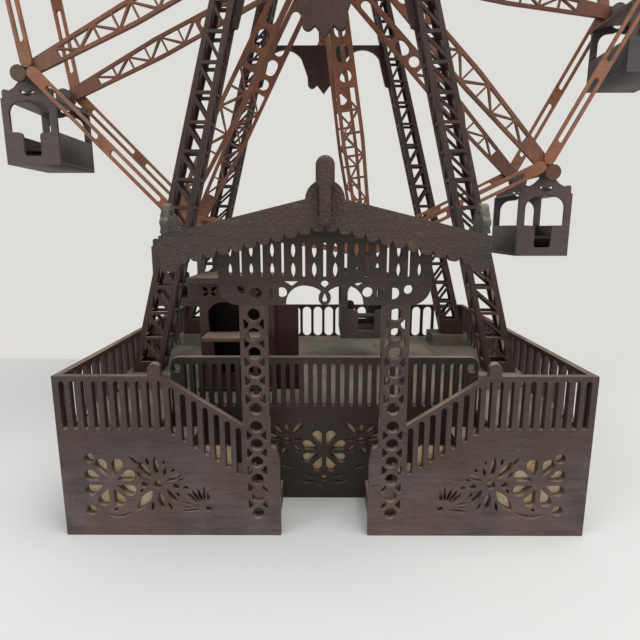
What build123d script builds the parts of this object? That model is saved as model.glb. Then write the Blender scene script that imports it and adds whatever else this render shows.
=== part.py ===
"""A hand-cranked ferris wheel toy, sawn from thin fretwork boards.

Millimetres. X runs across the entrance front, Y from the entrance to the back and Z up.
The origin is the bottom centre of the base. Curved saw cuts are drawn with a few straight sides.
"""

import os
from math import atan, cos, degrees, pi, radians, sin, tan

from build123d import *

os.makedirs("parts", exist_ok=True)

# Driving dimensions of the base
base_width = 417.0
base_depth = 360.0
wall_thick = 6.0
fence_top = 134.0
deck_top = 87.0
deck_thick = 3.0

# Front panels, their stair rail and the fences' slots
entrance_half = 35.0
shoulder_height = 72.0
rail_drop = 40.0
knob_inset = 78.6
knob_radius = 5.0
front_slot_pitch = 8.4
front_slot_width = 4.2
slot_length = 39.0
slot_top_margin = 4.0
inner_slots = 31
inner_slot_pitch = 8.05
inner_slot_width = 4.0
end_hole_radius = 4.0
fence_slot_pitch = 16.3
fence_slot_width = 12.6
fence_slot_margin = 3.0

# Entrance pillars, header, roof and its ornaments
pillar_inner = 42.4
pillar_width = 21.0
ring_radius = 4.8
ring_pitch = 14.7
first_ring = 19.7
rings_in_panel = 6
rings_in_pillar = 6
header_half = 78.0
header_arch_rise = 14.0
band_rise = 18.0
band_height = 22.0
band_openings = 10
band_pitch = 14.6
band_opening_width = 7.0
gable_apex = 266.0
gable_half = 111.0
gable_pitch_deg = 13.5
gable_board_height = 23.0
gable_overhang = 27.0
roof_depth = 57.0
roof_thick = 5.0
scallop_pitch = 9.1
scallop_depth = 4.0
finial_thick = 8.0
finial_rise = 21.0
finial_drop = 20.0
ornament_thick = 6.0
ornament_rise = 20.0

# Stairs, inner panel and the pierced flowers
stair_width = 56.0
tread_depth = 24.5
step_count = 5
stair_start = 37.5
step_thick = 3.0
flower_radius = 21.0
flower_height = 46.0
flower_inset = 38.5
petal_count = 8
petal_width = 9.0
petal_root = 6.0
flower_hub_radius = 2.4
backing_thick = 1.0

# Ticket kiosk on the deck
kiosk_width = 72.0
kiosk_setback = 105.0
kiosk_leg_gap = 30.0
kiosk_wheel_gap = 9.0
kiosk_wall = 4.0
kiosk_eave = 194.0
kiosk_floor_thick = 3.0
kiosk_roof_thick = 5.0
kiosk_overhang = 9.0
counter_height = 142.0
counter_depth = 14.0
counter_width = 58.0
kiosk_window_top = 175.0
kiosk_window_width = 55.0
kiosk_lower_opening = 33.0
kiosk_lower_width = 46.0
screen_width = 23.0
screen_top = 172.0

# Towers
plinth_rise = 14.5
plinth_width = 50.0
plinth_wall_gap = 2.5
plinth_margin = 10.0
plinth_chamfer = 9.0
leg_inset = 2.0
leg_foot_width = 29.0
leg_outer_lean = 0.27
leg_inner_lean = 0.25
leg_depth = 24.0
leg_board = 3.0
leg_top = 572.0
leg_foot_panel = 35.0
bay_height = 25.6
bay_count = 17
stile_width = 5.0
bar_width = 3.5
side_window_count = 3
ladder_window_count = 6
front_tower_setback = 118.0
rear_tower_setback = 59.0
arch_beam_top = 432.0
arch_spring = 382.0
arch_crown = 420.0
pendant_tip = 375.0
beam_thick = 6.0
bearing_beam_thick = 10.0
bearing_beam_half_height = 18.0

# Wheel
hub_height = 549.0
pivot_radius = 343.0
spoke_count = 10
first_spoke_deg = -82.0
rim_front_gap = 27.0
rim_rear_gap = 30.0
layer_thick = 4.0
hub_core_radius = 38.0
hub_cover_radius = 52.0
hub_sides = 16
axle_radius = 4.0
axle_sides = 16
bush_radius = 7.0
bush_sides = 12
running_clearance = 0.05
spoke_root_width = 20.0
spoke_belly_width = 24.0
spoke_belly_share = 0.63
spoke_tip_width = 13.0
strut_width = 12.0
strut_inset = 11.0
strut_gap = 0.5
disc_radius = 8.2
rod_radius = 1.5
rod_sides = 8
pivot_hole_sides = 6

# Gondolas
gondola_width = 57.0
gondola_rim_gap = 4.5
gondola_drop = 87.0
gondola_board = 3.0
parapet_height = 33.0
post_width = 7.5
gate_width = 18.0
gate_depth = 24.0
window_head = 22.0
eave_drop = 20.0
head_radius = 9.0
seat_height = 18.0
seat_depth = 18.0

# Crank
crank_radius = 62.0
crank_arm_width = 16.0
crank_arm_thick = 6.0
crank_gap = 6.0
crank_pin_radius = 2.5
knob_body_radius = 9.0
knob_length = 30.0
knob_end_gap = 0.5
knob_sides = 12

# Places worked out from the sizes
half_width = base_width / 2
half_depth = base_depth / 2
front_y = -half_depth
inside_x = half_width - wall_thick
inside_y = half_depth - wall_thick
inner_panel_front = half_depth - stair_width
gable_front = half_depth + gable_overhang
step_height = deck_top / step_count
knob_x = half_width - knob_inset
rail_high_x = knob_x - knob_radius
rail_low_x = pillar_inner + pillar_width
rail_slope = rail_drop / (rail_high_x - rail_low_x)
pillar_foot = first_ring + (rings_in_panel - 0.5) * ring_pitch
header_foot = pillar_foot + rings_in_pillar * ring_pitch
gable_slope = tan(radians(gable_pitch_deg))
stair_end = stair_start + (step_count - 1) * tread_depth
plinth_outer = inside_x - plinth_wall_gap
leg_outer_foot = plinth_outer - leg_inset
leg_inner_foot = leg_outer_foot - leg_foot_width
front_tower_y = front_tower_setback - half_depth
rear_tower_y = half_depth - rear_tower_setback
rim_front_y = front_tower_y + leg_depth + rim_front_gap
rim_rear_y = rear_tower_y - rim_rear_gap
wheel_centre_y = (rim_front_y + rim_rear_y) / 2


# Outlines used by many boards


def slot(x, low, high, width):
    """A tall slot with pointed ends."""
    half = width / 2
    right = [(x, low), (x + half, low + half), (x + half, high - half)]
    left = [(x, high), (x - half, high - half), (x - half, low + half)]
    return right + left


def square_slot(x, low, high, width):
    """A tall slot of a long row, with its round ends left square."""
    half = width / 2
    return [(x - half, low), (x + half, low), (x + half, high), (x - half, high)]


def ring(x, z, radius, sides=8):
    """A round hole, drawn with a few straight sides."""
    turns = [2 * 180 * (i + 0.5) / sides for i in range(sides)]
    return [(x + radius * cos(radians(a)), z + radius * sin(radians(a))) for a in turns]


def mirrored(points):
    """The same outline on the other side of the centre line."""
    return [(-x, z) for x, z in points]


def flower(x, z, radius):
    """Petals that widen outwards round a small hub hole."""
    petals = [ring(x, z, flower_hub_radius, 6)]
    for i in range(petal_count):
        turn = radians(i * 360 / petal_count)
        along = (cos(turn), sin(turn))
        across = (-along[1], along[0])
        belly = radius * 0.72
        side = petal_width / 2
        petals.append(
            [
                (x + petal_root * along[0], z + petal_root * along[1]),
                (x + belly * along[0] - side * across[0], z + belly * along[1] - side * across[1]),
                (x + radius * along[0], z + radius * along[1]),
                (x + belly * along[0] + side * across[0], z + belly * along[1] + side * across[1]),
            ]
        )
    return petals


def sawn_board(plane, outline, cuts, thick):
    """A board sawn to an outline, with cut-outs right through it."""
    with BuildPart() as piece:
        with BuildSketch(plane):
            with BuildLine():
                Polyline(*outline, close=True)
            make_face()
            for cut in cuts:
                with BuildLine():
                    Polyline(*cut, close=True)
                make_face(mode=Mode.SUBTRACT)
        extrude(amount=thick)
    return piece.part


def facing_board(outline, cuts, front, thick):
    """A board that faces the entrance. Its outline is in X and Z."""
    return sawn_board(Plane.XZ.offset(-(front + thick)), outline, cuts, thick)


def side_board(outline, cuts, left, thick):
    """A board that faces sideways. Its outline is in Y and Z."""
    return sawn_board(Plane.YZ.offset(left), outline, cuts, thick)


def slab(low, high):
    """A plain board between two opposite corners."""
    with BuildPart() as piece:
        with Locations(low):
            Box(high[0] - low[0], high[1] - low[1], high[2] - low[2], align=(Align.MIN,) * 3)
    return piece.part


def flat_sided_rod(y_low, y_high, radius, x, z, sides, bore=False):
    """A bar along Y with flat sides. Its corners lie on the radius, or its flats for a bore."""
    with BuildPart() as piece:
        with BuildSketch(Plane.XZ.offset(-y_high)):
            with Locations((x, z)):
                RegularPolygon(radius, sides, major_radius=not bore)
        extrude(amount=y_high - y_low)
    return piece.part


def save(pieces, name):
    """Writes one node. Several pieces stay separate solids."""
    node = Compound(children=pieces) if len(pieces) > 1 else pieces[0]
    node.label = name
    export_step(node, f"parts/{name}.step")


# Front panels: a level fence, a sloping stair rail and the foot of each pillar


def rail_top(x):
    """Height of the stair rail above a place on the front panel."""
    return fence_top - max(0.0, rail_high_x - x) * rail_slope


panel_outline = [
    (entrance_half, 0),
    (half_width, 0),
    (half_width, fence_top),
    (knob_x + knob_radius, fence_top),
    (knob_x + knob_radius, fence_top + knob_radius),
    (knob_x + knob_radius / 2, fence_top + 2 * knob_radius),
    (knob_x - knob_radius / 2, fence_top + 2 * knob_radius),
    (knob_x - knob_radius, fence_top + knob_radius),
    (rail_high_x, fence_top),
    (rail_low_x, rail_top(rail_low_x)),
    (rail_low_x, pillar_foot),
    (pillar_inner, pillar_foot),
    (pillar_inner, shoulder_height + knob_radius),
    (entrance_half + 2, shoulder_height),
    (entrance_half, shoulder_height - knob_radius),
]
panel_cuts = []
first_slot_x = inside_x - front_slot_width / 2 + 1
slotted_length = first_slot_x - rail_low_x - front_slot_width / 2 - 1
for i in range(1 + int(slotted_length / front_slot_pitch)):
    slot_x = first_slot_x - i * front_slot_pitch
    slot_high = rail_top(slot_x) - slot_top_margin
    panel_cuts.append(slot(slot_x, slot_high - slot_length, slot_high, front_slot_width))
for i in range(rings_in_panel):
    ring_x = pillar_inner + pillar_width / 2
    panel_cuts.append(ring(ring_x, first_ring + i * ring_pitch, ring_radius))
panel_cuts += flower(half_width - flower_inset, flower_height, flower_radius)

front_right = facing_board(panel_outline, panel_cuts, front_y, wall_thick)
save([front_right], "front_panel_right")
front_left = facing_board(mirrored(panel_outline), [mirrored(c) for c in panel_cuts], front_y, wall_thick)
save([front_left], "front_panel_left")


# Entrance pillars: a column of sawn rings standing on each front panel

pillar_outline = [
    (pillar_inner, pillar_foot),
    (pillar_inner + pillar_width, pillar_foot),
    (pillar_inner + pillar_width, header_foot),
    (pillar_inner, header_foot),
]
pillar_cuts = []
for i in range(rings_in_pillar):
    ring_z = first_ring + (rings_in_panel + i) * ring_pitch
    pillar_cuts.append(ring(pillar_inner + pillar_width / 2, ring_z, ring_radius))

pillar_right = facing_board(pillar_outline, pillar_cuts, front_y, wall_thick)
save([pillar_right], "pillar_right")
pillar_left = facing_board(mirrored(pillar_outline), [mirrored(c) for c in pillar_cuts], front_y, wall_thick)
save([pillar_left], "pillar_left")


# Header: two arches with a pendant between them, a pierced band and a gable top


def roof_top(x):
    """Height of the roof's upper face."""
    return gable_apex - abs(x) * gable_slope


roof_under_drop = roof_thick / cos(radians(gable_pitch_deg))
bracket_rise = header_half - rail_low_x
arch_half = [
    (header_half, roof_top(header_half) - roof_under_drop),
    (header_half, header_foot + bracket_rise),
    (header_half - bracket_rise / 3, header_foot + bracket_rise / 3),
    (rail_low_x, header_foot),
    (pillar_inner, header_foot),
    (pillar_inner - 3, header_foot + header_arch_rise * 0.6),
    (pillar_inner - 10, header_foot + header_arch_rise * 0.95),
    (pillar_inner / 2, header_foot + header_arch_rise),
    (pillar_inner / 4, header_foot + header_arch_rise * 0.8),
    (pillar_inner / 8, header_foot + header_arch_rise * 0.35),
]
pendant = [(0, header_foot + header_arch_rise * 0.1)]
header_outline = (
    [(0, roof_top(0) - roof_under_drop)] + arch_half + pendant + list(reversed(mirrored(arch_half)))
)
header_cuts = []
for i in range(band_openings):
    opening_x = (i - (band_openings - 1) / 2) * band_pitch
    band_low = header_foot + band_rise
    header_cuts.append(slot(opening_x, band_low, band_low + band_height, band_opening_width))
save([facing_board(header_outline, header_cuts, front_y, wall_thick)], "header_board")


# Gable: two scalloped bargeboards, the roof boards behind them, a ridge finial and eave ornaments

gable_rise = gable_board_height / cos(radians(gable_pitch_deg))
scallop_count = int(gable_half / scallop_pitch)
barge_outline = [(0, roof_top(0)), (gable_half, roof_top(gable_half))]
barge_outline.append((gable_half, roof_top(gable_half) - gable_rise + scallop_depth))
for i in range(scallop_count):
    notch_x = gable_half - (i + 0.5) * scallop_pitch
    barge_outline.append((notch_x, roof_top(notch_x) - gable_rise))
    notch_x -= scallop_pitch / 2
    barge_outline.append((notch_x, roof_top(notch_x) - gable_rise + scallop_depth))
barge_outline.append((0, roof_top(0) - gable_rise + scallop_depth))
save([facing_board(barge_outline, [], -gable_front, wall_thick)], "bargeboard_right")
save([facing_board(mirrored(barge_outline), [], -gable_front, wall_thick)], "bargeboard_left")

roof_half = [
    (0, roof_top(0)),
    (gable_half, roof_top(gable_half)),
    (gable_half, roof_top(gable_half) - roof_under_drop),
    (0, roof_top(0) - roof_under_drop),
]
roof_front = wall_thick - gable_front
roof_board_depth = roof_depth - wall_thick
roof_right = facing_board(roof_half, [], roof_front, roof_board_depth)
roof_left = facing_board(mirrored(roof_half), [], roof_front, roof_board_depth)
save([roof_right, roof_left], "roof_boards")

finial_nose = gable_front + wall_thick
finial_top = gable_apex + finial_rise
finial_outline = [
    (-finial_nose, gable_apex - finial_drop),
    (-gable_front, gable_apex - finial_drop),
    (-gable_front, gable_apex),
    (roof_depth - gable_front, gable_apex),
    (roof_depth - gable_front, gable_apex + 4),
    (12 - gable_front, gable_apex + 6),
    (8 - gable_front, finial_top - 8),
    (3 - gable_front, finial_top),
    (-gable_front - 2, finial_top),
    (-finial_nose, finial_top - 5),
]
save([side_board(finial_outline, [], -finial_thick / 2, finial_thick)], "ridge_finial")

ornament_inner = gable_half - ornament_thick - 1
ornament_foot = roof_top(ornament_inner)
ornament_outline = [
    (-gable_front, ornament_foot),
    (-gable_front, ornament_foot + ornament_rise * 0.45),
    (5 - gable_front, ornament_foot + ornament_rise * 0.85),
    (12 - gable_front, ornament_foot + ornament_rise),
    (19 - gable_front, ornament_foot + ornament_rise * 0.75),
    (21 - gable_front, ornament_foot + ornament_rise * 0.35),
    (30 - gable_front, ornament_foot + ornament_rise * 0.2),
    (35 - gable_front, ornament_foot),
]
ornament_right = side_board(ornament_outline, [], ornament_inner, ornament_thick)
ornament_left = side_board(ornament_outline, [], -ornament_inner - ornament_thick, ornament_thick)
save([ornament_right, ornament_left], "eave_ornaments")


# Inner panel behind the stairs, with a slotted parapet and a large flower

corner = end_hole_radius * 2
inner_outline = [
    (-stair_end, 0),
    (stair_end, 0),
    (stair_end, fence_top - corner),
    (stair_end - corner, fence_top),
    (corner - stair_end, fence_top),
    (-stair_end, fence_top - corner),
]
inner_cuts = flower(0, flower_height, flower_radius)
for i in range(inner_slots):
    slot_x = (i - (inner_slots - 1) / 2) * inner_slot_pitch
    slot_high = fence_top - slot_top_margin - 2
    inner_cuts.append(square_slot(slot_x, slot_high - slot_length, slot_high, inner_slot_width))
end_hole_x = stair_end - end_hole_radius * 1.5
end_hole_z = fence_top - end_hole_radius * 2.5
inner_cuts += [ring(x, end_hole_z, end_hole_radius) for x in (-end_hole_x, end_hole_x)]
save([facing_board(inner_outline, inner_cuts, -inner_panel_front, wall_thick)], "inner_panel")


# Side and back walls with their wide fence slots


def fence_cuts(length):
    """Evenly spaced slots between the deck and the top rail."""
    count = int((length - fence_slot_pitch) / fence_slot_pitch)
    places = [(i - (count - 1) / 2) * fence_slot_pitch for i in range(count)]
    top = fence_top - fence_slot_margin
    return [square_slot(place, deck_top, top, fence_slot_width) for place in places]


side_half = half_depth - wall_thick
side_outline = [(-side_half, 0), (side_half, 0), (side_half, fence_top), (-side_half, fence_top)]
side_cuts = fence_cuts(2 * side_half)
save([side_board(side_outline, side_cuts, half_width - wall_thick, wall_thick)], "side_wall_right")
save([side_board(side_outline, side_cuts, -half_width, wall_thick)], "side_wall_left")

back_outline = [(-half_width, 0), (half_width, 0), (half_width, fence_top), (-half_width, fence_top)]
back_cuts = fence_cuts(base_width)
save([facing_board(back_outline, back_cuts, half_depth - wall_thick, wall_thick)], "back_wall")


# Deck boards, the bearer under them and the stairs up from the entrance

inner_panel_back = wall_thick - inner_panel_front
deck_under = deck_top - deck_thick
save([slab((-inside_x, inner_panel_back, deck_under), (inside_x, inside_y, deck_top))], "deck_main")
corner_right = slab((stair_end, -inside_y, deck_under), (inside_x, inner_panel_back, deck_top))
corner_left = slab((-inside_x, -inside_y, deck_under), (-stair_end, inner_panel_back, deck_top))
save([corner_right, corner_left], "deck_corners")
save([slab((-inside_x, -wall_thick / 2, 0), (inside_x, wall_thick / 2, deck_under))], "floor_bearer")

stair_front = backing_thick - inside_y
for side, name in ((1, "stairs_right"), (-1, "stairs_left")):
    boards = []
    for i in range(step_count):
        near = stair_start + i * tread_depth
        top = (i + 1) * step_height - step_thick
        foot = max(0.0, i * step_height - step_thick)
        ends = sorted((side * near, side * (near + step_thick)))
        boards.append(slab((ends[0], stair_front, foot), (ends[1], -inner_panel_front, top)))
        if i < step_count - 1:
            ends = sorted((side * near, side * (near + tread_depth)))
            tread_top = top + step_thick
            boards.append(slab((ends[0], stair_front, top), (ends[1], -inner_panel_front, tread_top)))
    save(boards, name)


# Pale backing boards behind the pierced flowers

backing_low = flower_height - flower_radius - 12
backing_high = flower_height + flower_radius + 7
backing_inner = rail_low_x + 6
backing_y = -inside_y
backing_right = slab(
    (backing_inner, backing_y, backing_low), (inside_x - 4, backing_y + backing_thick, backing_high)
)
backing_left = slab(
    (4 - inside_x, backing_y, backing_low), (-backing_inner, backing_y + backing_thick, backing_high)
)
backing_half = 2.6 * flower_radius
backing_centre = slab(
    (-backing_half, inner_panel_back, backing_low),
    (backing_half, inner_panel_back + backing_thick, backing_high),
)
save([backing_right, backing_left, backing_centre], "floral_backing")


# Ticket kiosk: floor, pierced front, plain walls, counter and roof, and a screen board beside it

kiosk_left = plinth_outer - plinth_width - kiosk_leg_gap
kiosk_right = kiosk_left - kiosk_width
kiosk_front_y = kiosk_setback - half_depth
kiosk_back_y = rim_front_y - kiosk_wheel_gap
kiosk_base = deck_top + kiosk_floor_thick
kiosk_mid = -(kiosk_left + kiosk_right) / 2
save(
    [
        slab(
            (-kiosk_left - kiosk_wall, kiosk_front_y - kiosk_wall, deck_top),
            (-kiosk_right, kiosk_back_y, kiosk_base),
        )
    ],
    "kiosk_floor",
)

window_half = kiosk_window_width / 2
window_sill = counter_height + kiosk_wall
kiosk_front_outline = [
    (-kiosk_left, kiosk_base),
    (-kiosk_right, kiosk_base),
    (-kiosk_right, kiosk_eave),
    (-kiosk_left, kiosk_eave),
]
kiosk_window = [
    (kiosk_mid - window_half, window_sill),
    (kiosk_mid + window_half, window_sill),
    (kiosk_mid + window_half, kiosk_window_top - window_half / 3),
    (kiosk_mid + window_half * 0.6, kiosk_window_top),
    (kiosk_mid - window_half * 0.6, kiosk_window_top),
    (kiosk_mid - window_half, kiosk_window_top - window_half / 3),
]
lower_top = counter_height - kiosk_wall
lower_half = kiosk_lower_width / 2
kiosk_lower = [
    (kiosk_mid - lower_half, lower_top - kiosk_lower_opening),
    (kiosk_mid + lower_half, lower_top - kiosk_lower_opening),
    (kiosk_mid + lower_half, lower_top),
    (kiosk_mid - lower_half, lower_top),
]
save(
    [facing_board(kiosk_front_outline, [kiosk_window, kiosk_lower], kiosk_front_y, kiosk_wall)],
    "kiosk_front",
)

wall_front = kiosk_front_y + kiosk_wall
wall_back = kiosk_back_y - kiosk_wall
kiosk_side_left = slab(
    (-kiosk_left, wall_front, kiosk_base), (kiosk_wall - kiosk_left, wall_back, kiosk_eave)
)
kiosk_side_right = slab(
    (-kiosk_right - kiosk_wall, wall_front, kiosk_base), (-kiosk_right, wall_back, kiosk_eave)
)
kiosk_back = slab((-kiosk_left, wall_back, kiosk_base), (-kiosk_right, kiosk_back_y, kiosk_eave))
save([kiosk_side_left, kiosk_side_right, kiosk_back], "kiosk_walls")

counter_half = counter_width / 2
counter = slab(
    (kiosk_mid - counter_half, kiosk_front_y - counter_depth, counter_height - kiosk_wall),
    (kiosk_mid + counter_half, kiosk_front_y, counter_height),
)
save([counter], "kiosk_counter")
kiosk_roof = slab(
    (-kiosk_left - kiosk_overhang, kiosk_front_y - kiosk_overhang, kiosk_eave),
    (kiosk_overhang - kiosk_right, kiosk_back_y, kiosk_eave + kiosk_roof_thick),
)
save([kiosk_roof], "kiosk_roof")

screen = slab(
    (-kiosk_right, wall_front, deck_top), (screen_width - kiosk_right, wall_front + kiosk_wall, screen_top)
)
save([screen], "kiosk_screen")


# Towers: four leaning lattice legs on chamfered plinths


def leg_outer(z):
    """Distance of a leg's outer edge from the centre line."""
    return leg_outer_foot - (z - deck_top) * leg_outer_lean


def leg_inner(z):
    """Distance of a leg's inner edge from the centre line."""
    return leg_inner_foot - (z - deck_top) * leg_inner_lean


leg_foot = deck_top + plinth_rise
plinth_inner = plinth_outer - plinth_width


def plinth(side, tower_y):
    """A low block under one leg, with its outer corners cut off."""
    near = tower_y - plinth_margin
    far = tower_y + leg_depth + plinth_margin
    corners = [
        (plinth_inner, near),
        (plinth_outer - plinth_chamfer, near),
        (plinth_outer, near + plinth_chamfer),
        (plinth_outer, far - plinth_chamfer),
        (plinth_outer - plinth_chamfer, far),
        (plinth_inner, far),
    ]
    corners = [(side * x, y) for x, y in corners]
    return sawn_board(Plane.XY.offset(deck_top), corners, [], plinth_rise)


towers = {"front": front_tower_y, "rear": rear_tower_y}
sides = {"right": 1, "left": -1}
save([plinth(side, y) for y in towers.values() for side in sides.values()], "tower_plinths")


def leg_face(side):
    """Outline of the board on the front or back of a leg."""
    foot = [(side * leg_inner(leg_foot), leg_foot), (side * leg_outer(leg_foot), leg_foot)]
    head = [(side * leg_outer(leg_top), leg_top), (side * leg_inner(leg_top), leg_top)]
    return foot + head


def lattice_cuts(side):
    """Two triangles in each bay, either side of a bar that falls to the right."""
    cuts = []
    for i in range(bay_count):
        low = leg_foot + leg_foot_panel + i * bay_height + bar_width / 2
        high = min(low + bay_height - bar_width, leg_top - bar_width)
        edges = {}
        for z in (low, high):
            edges[z] = sorted(side * x for x in (leg_inner(z) + stile_width, leg_outer(z) - stile_width))
        gap = bar_width * 1.2
        left_low, right_low = edges[low]
        left_high, right_high = edges[high]
        cuts.append([(left_low, low), (right_low - gap, low), (left_high, high - gap)])
        cuts.append([(right_low, low + gap), (right_high, high), (left_high + gap, high)])
    return cuts


def ladder_cuts(side):
    """Tall windows between widely spaced rungs."""
    cuts = []
    first = leg_foot + leg_foot_panel
    pitch = (leg_top - bar_width - first) / ladder_window_count
    for i in range(ladder_window_count):
        low = first + i * pitch + bar_width / 2
        high = low + pitch - bar_width
        inner = [side * (leg_inner(z) + stile_width) for z in (low, high)]
        outer = [side * (leg_outer(z) - stile_width) for z in (low, high)]
        cuts.append([(inner[0], low), (outer[0], low), (outer[1], high), (inner[1], high)])
    return cuts


def leg_flank(side, edge, inward, tower_y):
    """One of the two narrow sides of a leg, with tall windows."""
    foot_x = side * edge(leg_foot)
    head_x = side * edge(leg_top)
    shift = side * inward * leg_board
    outline = [(foot_x, leg_foot), (foot_x + shift, leg_foot), (head_x + shift, leg_top), (head_x, leg_top)]
    near = tower_y + leg_board
    window_low = leg_foot + leg_foot_panel
    window_pitch = (leg_top - window_low) / side_window_count
    window_width = leg_depth - 2 * leg_board - 2 * bar_width
    with BuildPart() as flank:
        add(facing_board(outline, [], near, leg_depth - 2 * leg_board))
        with BuildSketch(Plane.YZ):
            for i in range(side_window_count):
                middle = window_low + (i + 0.5) * window_pitch
                with Locations((tower_y + leg_depth / 2, middle)):
                    Rectangle(window_width, window_pitch - bar_width)
        extrude(amount=base_width, both=True, mode=Mode.SUBTRACT)
    return flank.part


# The board that faces away from the wheel has the full lattice, and the other one a plain ladder.
for tower, tower_y in towers.items():
    for side_name, side in sides.items():
        face = leg_face(side)
        far_face_y = tower_y + leg_depth - leg_board
        near_cuts = lattice_cuts(side) if tower == "front" else ladder_cuts(side)
        far_cuts = ladder_cuts(side) if tower == "front" else lattice_cuts(side)
        leg = [
            facing_board(face, near_cuts, tower_y, leg_board),
            facing_board(face, far_cuts, far_face_y, leg_board),
            leg_flank(side, leg_inner, 1, tower_y),
            leg_flank(side, leg_outer, -1, tower_y),
        ]
        save(leg, f"leg_{tower}_{side_name}")


# Tower crossbeams: a pierced double arch, and above it the beam that carries the axle

arch_reach = leg_inner(arch_spring)
arch_side = [
    (leg_inner(arch_beam_top), arch_beam_top),
    (arch_reach, arch_spring),
    (arch_reach - 6, arch_spring + 3),
    (arch_reach - 10, arch_spring + 20),
    (arch_reach * 0.75, arch_crown - 4),
    (arch_reach * 0.55, arch_crown),
    (arch_reach * 0.35, arch_crown - 6),
    (arch_reach * 0.24, arch_spring + 20),
    (arch_reach * 0.21, arch_spring + 6),
    (arch_reach * 0.17, arch_spring),
    (arch_reach * 0.12, arch_spring + 1),
    (arch_reach * 0.085, arch_spring + 3),
]
arch_outline = arch_side + [(0, pendant_tip)] + list(reversed(mirrored(arch_side)))
for tower, tower_y in towers.items():
    arch_front = tower_y + (leg_depth - beam_thick) / 2
    save([facing_board(arch_outline, [], arch_front, beam_thick)], f"arch_beam_{tower}")

beam_low = hub_height - bearing_beam_half_height
beam_high = hub_height + bearing_beam_half_height
beam_outline = [
    (leg_inner(beam_low), beam_low),
    (leg_inner(beam_high), beam_high),
    (-leg_inner(beam_high), beam_high),
    (-leg_inner(beam_low), beam_low),
]
bushes = []
for tower, tower_y in towers.items():
    beam_front = tower_y + (leg_depth - bearing_beam_thick) / 2
    beam_back = beam_front + bearing_beam_thick
    bush_body = flat_sided_rod(beam_front, beam_back, bush_radius, 0, hub_height, bush_sides)
    with BuildPart() as bearing_beam:
        add(facing_board(beam_outline, [], beam_front, bearing_beam_thick))
        add(bush_body, mode=Mode.SUBTRACT)
    save([bearing_beam.part], f"bearing_beam_{tower}")
    with BuildPart() as bush:
        add(bush_body)
        bore = axle_radius + running_clearance
        hole = flat_sided_rod(beam_front, beam_back, bore, 0, hub_height, bush_sides, bore=True)
        add(hole, mode=Mode.SUBTRACT)
    bushes.append(bush.part)
save(bushes, "bearing_bushes")


# Axle with the two hubs, which grip the spokes' inner ends in a groove

crank_arm_near = rear_tower_y + leg_depth + crank_gap
crank_arm_far = crank_arm_near + crank_arm_thick
axle_front = front_tower_y - 2
axle = flat_sided_rod(axle_front, crank_arm_far, axle_radius, 0, hub_height, axle_sides)
save([axle], "axle")

rims = {"front": (rim_front_y, 1), "rear": (rim_rear_y, -1)}
for rim, (outer_y, inward) in rims.items():
    with BuildPart() as hub:
        for layer, radius in enumerate((hub_cover_radius, hub_core_radius, hub_cover_radius)):
            ends = sorted(outer_y + inward * layer_thick * (layer + step) for step in (0, 1))
            add(flat_sided_rod(ends[0], ends[1], radius, 0, hub_height, hub_sides))
        add(axle, mode=Mode.SUBTRACT)
    save([hub.part], f"hub_{rim}")


# Spokes and rim struts: one flat pattern piece each, turned to its place on the rim


def turned(points, degrees_round):
    """A pattern drawn along +X, turned about the hub and lifted to its height."""
    c = cos(radians(degrees_round))
    s = sin(radians(degrees_round))
    return [(x * c - z * s, hub_height + x * s + z * c) for x, z in points]


def spoke_half(x):
    """Half the spoke's width at a distance from the hub."""
    belly_x = spoke_belly_share * pivot_radius
    if x < belly_x:
        share = (x - hub_core_radius) / (belly_x - hub_core_radius)
        return (spoke_root_width + share * (spoke_belly_width - spoke_root_width)) / 2
    share = (x - belly_x) / (pivot_radius - belly_x)
    return (spoke_belly_width + share * (spoke_tip_width - spoke_belly_width)) / 2


tip = spoke_tip_width / 2
belly = spoke_belly_share * pivot_radius
spoke_side = [
    (hub_core_radius, spoke_half(hub_core_radius)),
    (belly, spoke_half(belly)),
    (pivot_radius + tip * 0.8, tip * 0.8),
]
spoke_outline = spoke_side + [(x, -z) for x, z in reversed(spoke_side)]
rail = 4.0
zig = [0.5 * pivot_radius, 0.64 * pivot_radius, 0.78 * pivot_radius]
spoke_cuts = [
    [
        (hub_cover_radius + 8, spoke_half(hub_cover_radius) - rail),
        (0.44 * pivot_radius, spoke_half(0.44 * pivot_radius) - rail),
        (0.44 * pivot_radius, rail - spoke_half(0.44 * pivot_radius)),
        (hub_cover_radius + 8, rail - spoke_half(hub_cover_radius)),
    ]
]
for i, (start, end) in enumerate(zip(zig[:-1], zig[1:])):
    flip = 1 if i % 2 else -1
    spoke_cuts.append(
        [
            (start, flip * (spoke_half(start) - rail)),
            (end - rail, flip * (spoke_half(end) - rail)),
            (start if i else start + rail, -flip * (spoke_half(start) - rail)),
        ]
    )

# A strut's round end stops short of the spoke's centre line, where it meets its neighbour.
half_turn = radians(180 / spoke_count)
strut_line = (pivot_radius - strut_inset) * cos(half_turn)
strut_reach = (pivot_radius - strut_inset) * sin(half_turn) - strut_gap
strut_half = strut_width / 2
strut_side = [
    (strut_half, strut_reach - strut_half),
    (0, strut_reach),
    (-strut_half, strut_reach - strut_half),
]
strut_pattern = strut_side + [(x, -z) for x, z in reversed(strut_side)]
strut_outline = [(strut_line + x, z) for x, z in strut_pattern]
window_near = strut_width * 0.7
window_far = strut_reach * 0.8
strut_window = [
    (strut_line + strut_half / 2, window_near),
    (strut_line + strut_half / 2, window_far),
    (strut_line - strut_half / 2, window_far),
    (strut_line - strut_half / 2, window_near),
]
strut_cuts = [strut_window, [(x, -z) for x, z in strut_window]]

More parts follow.
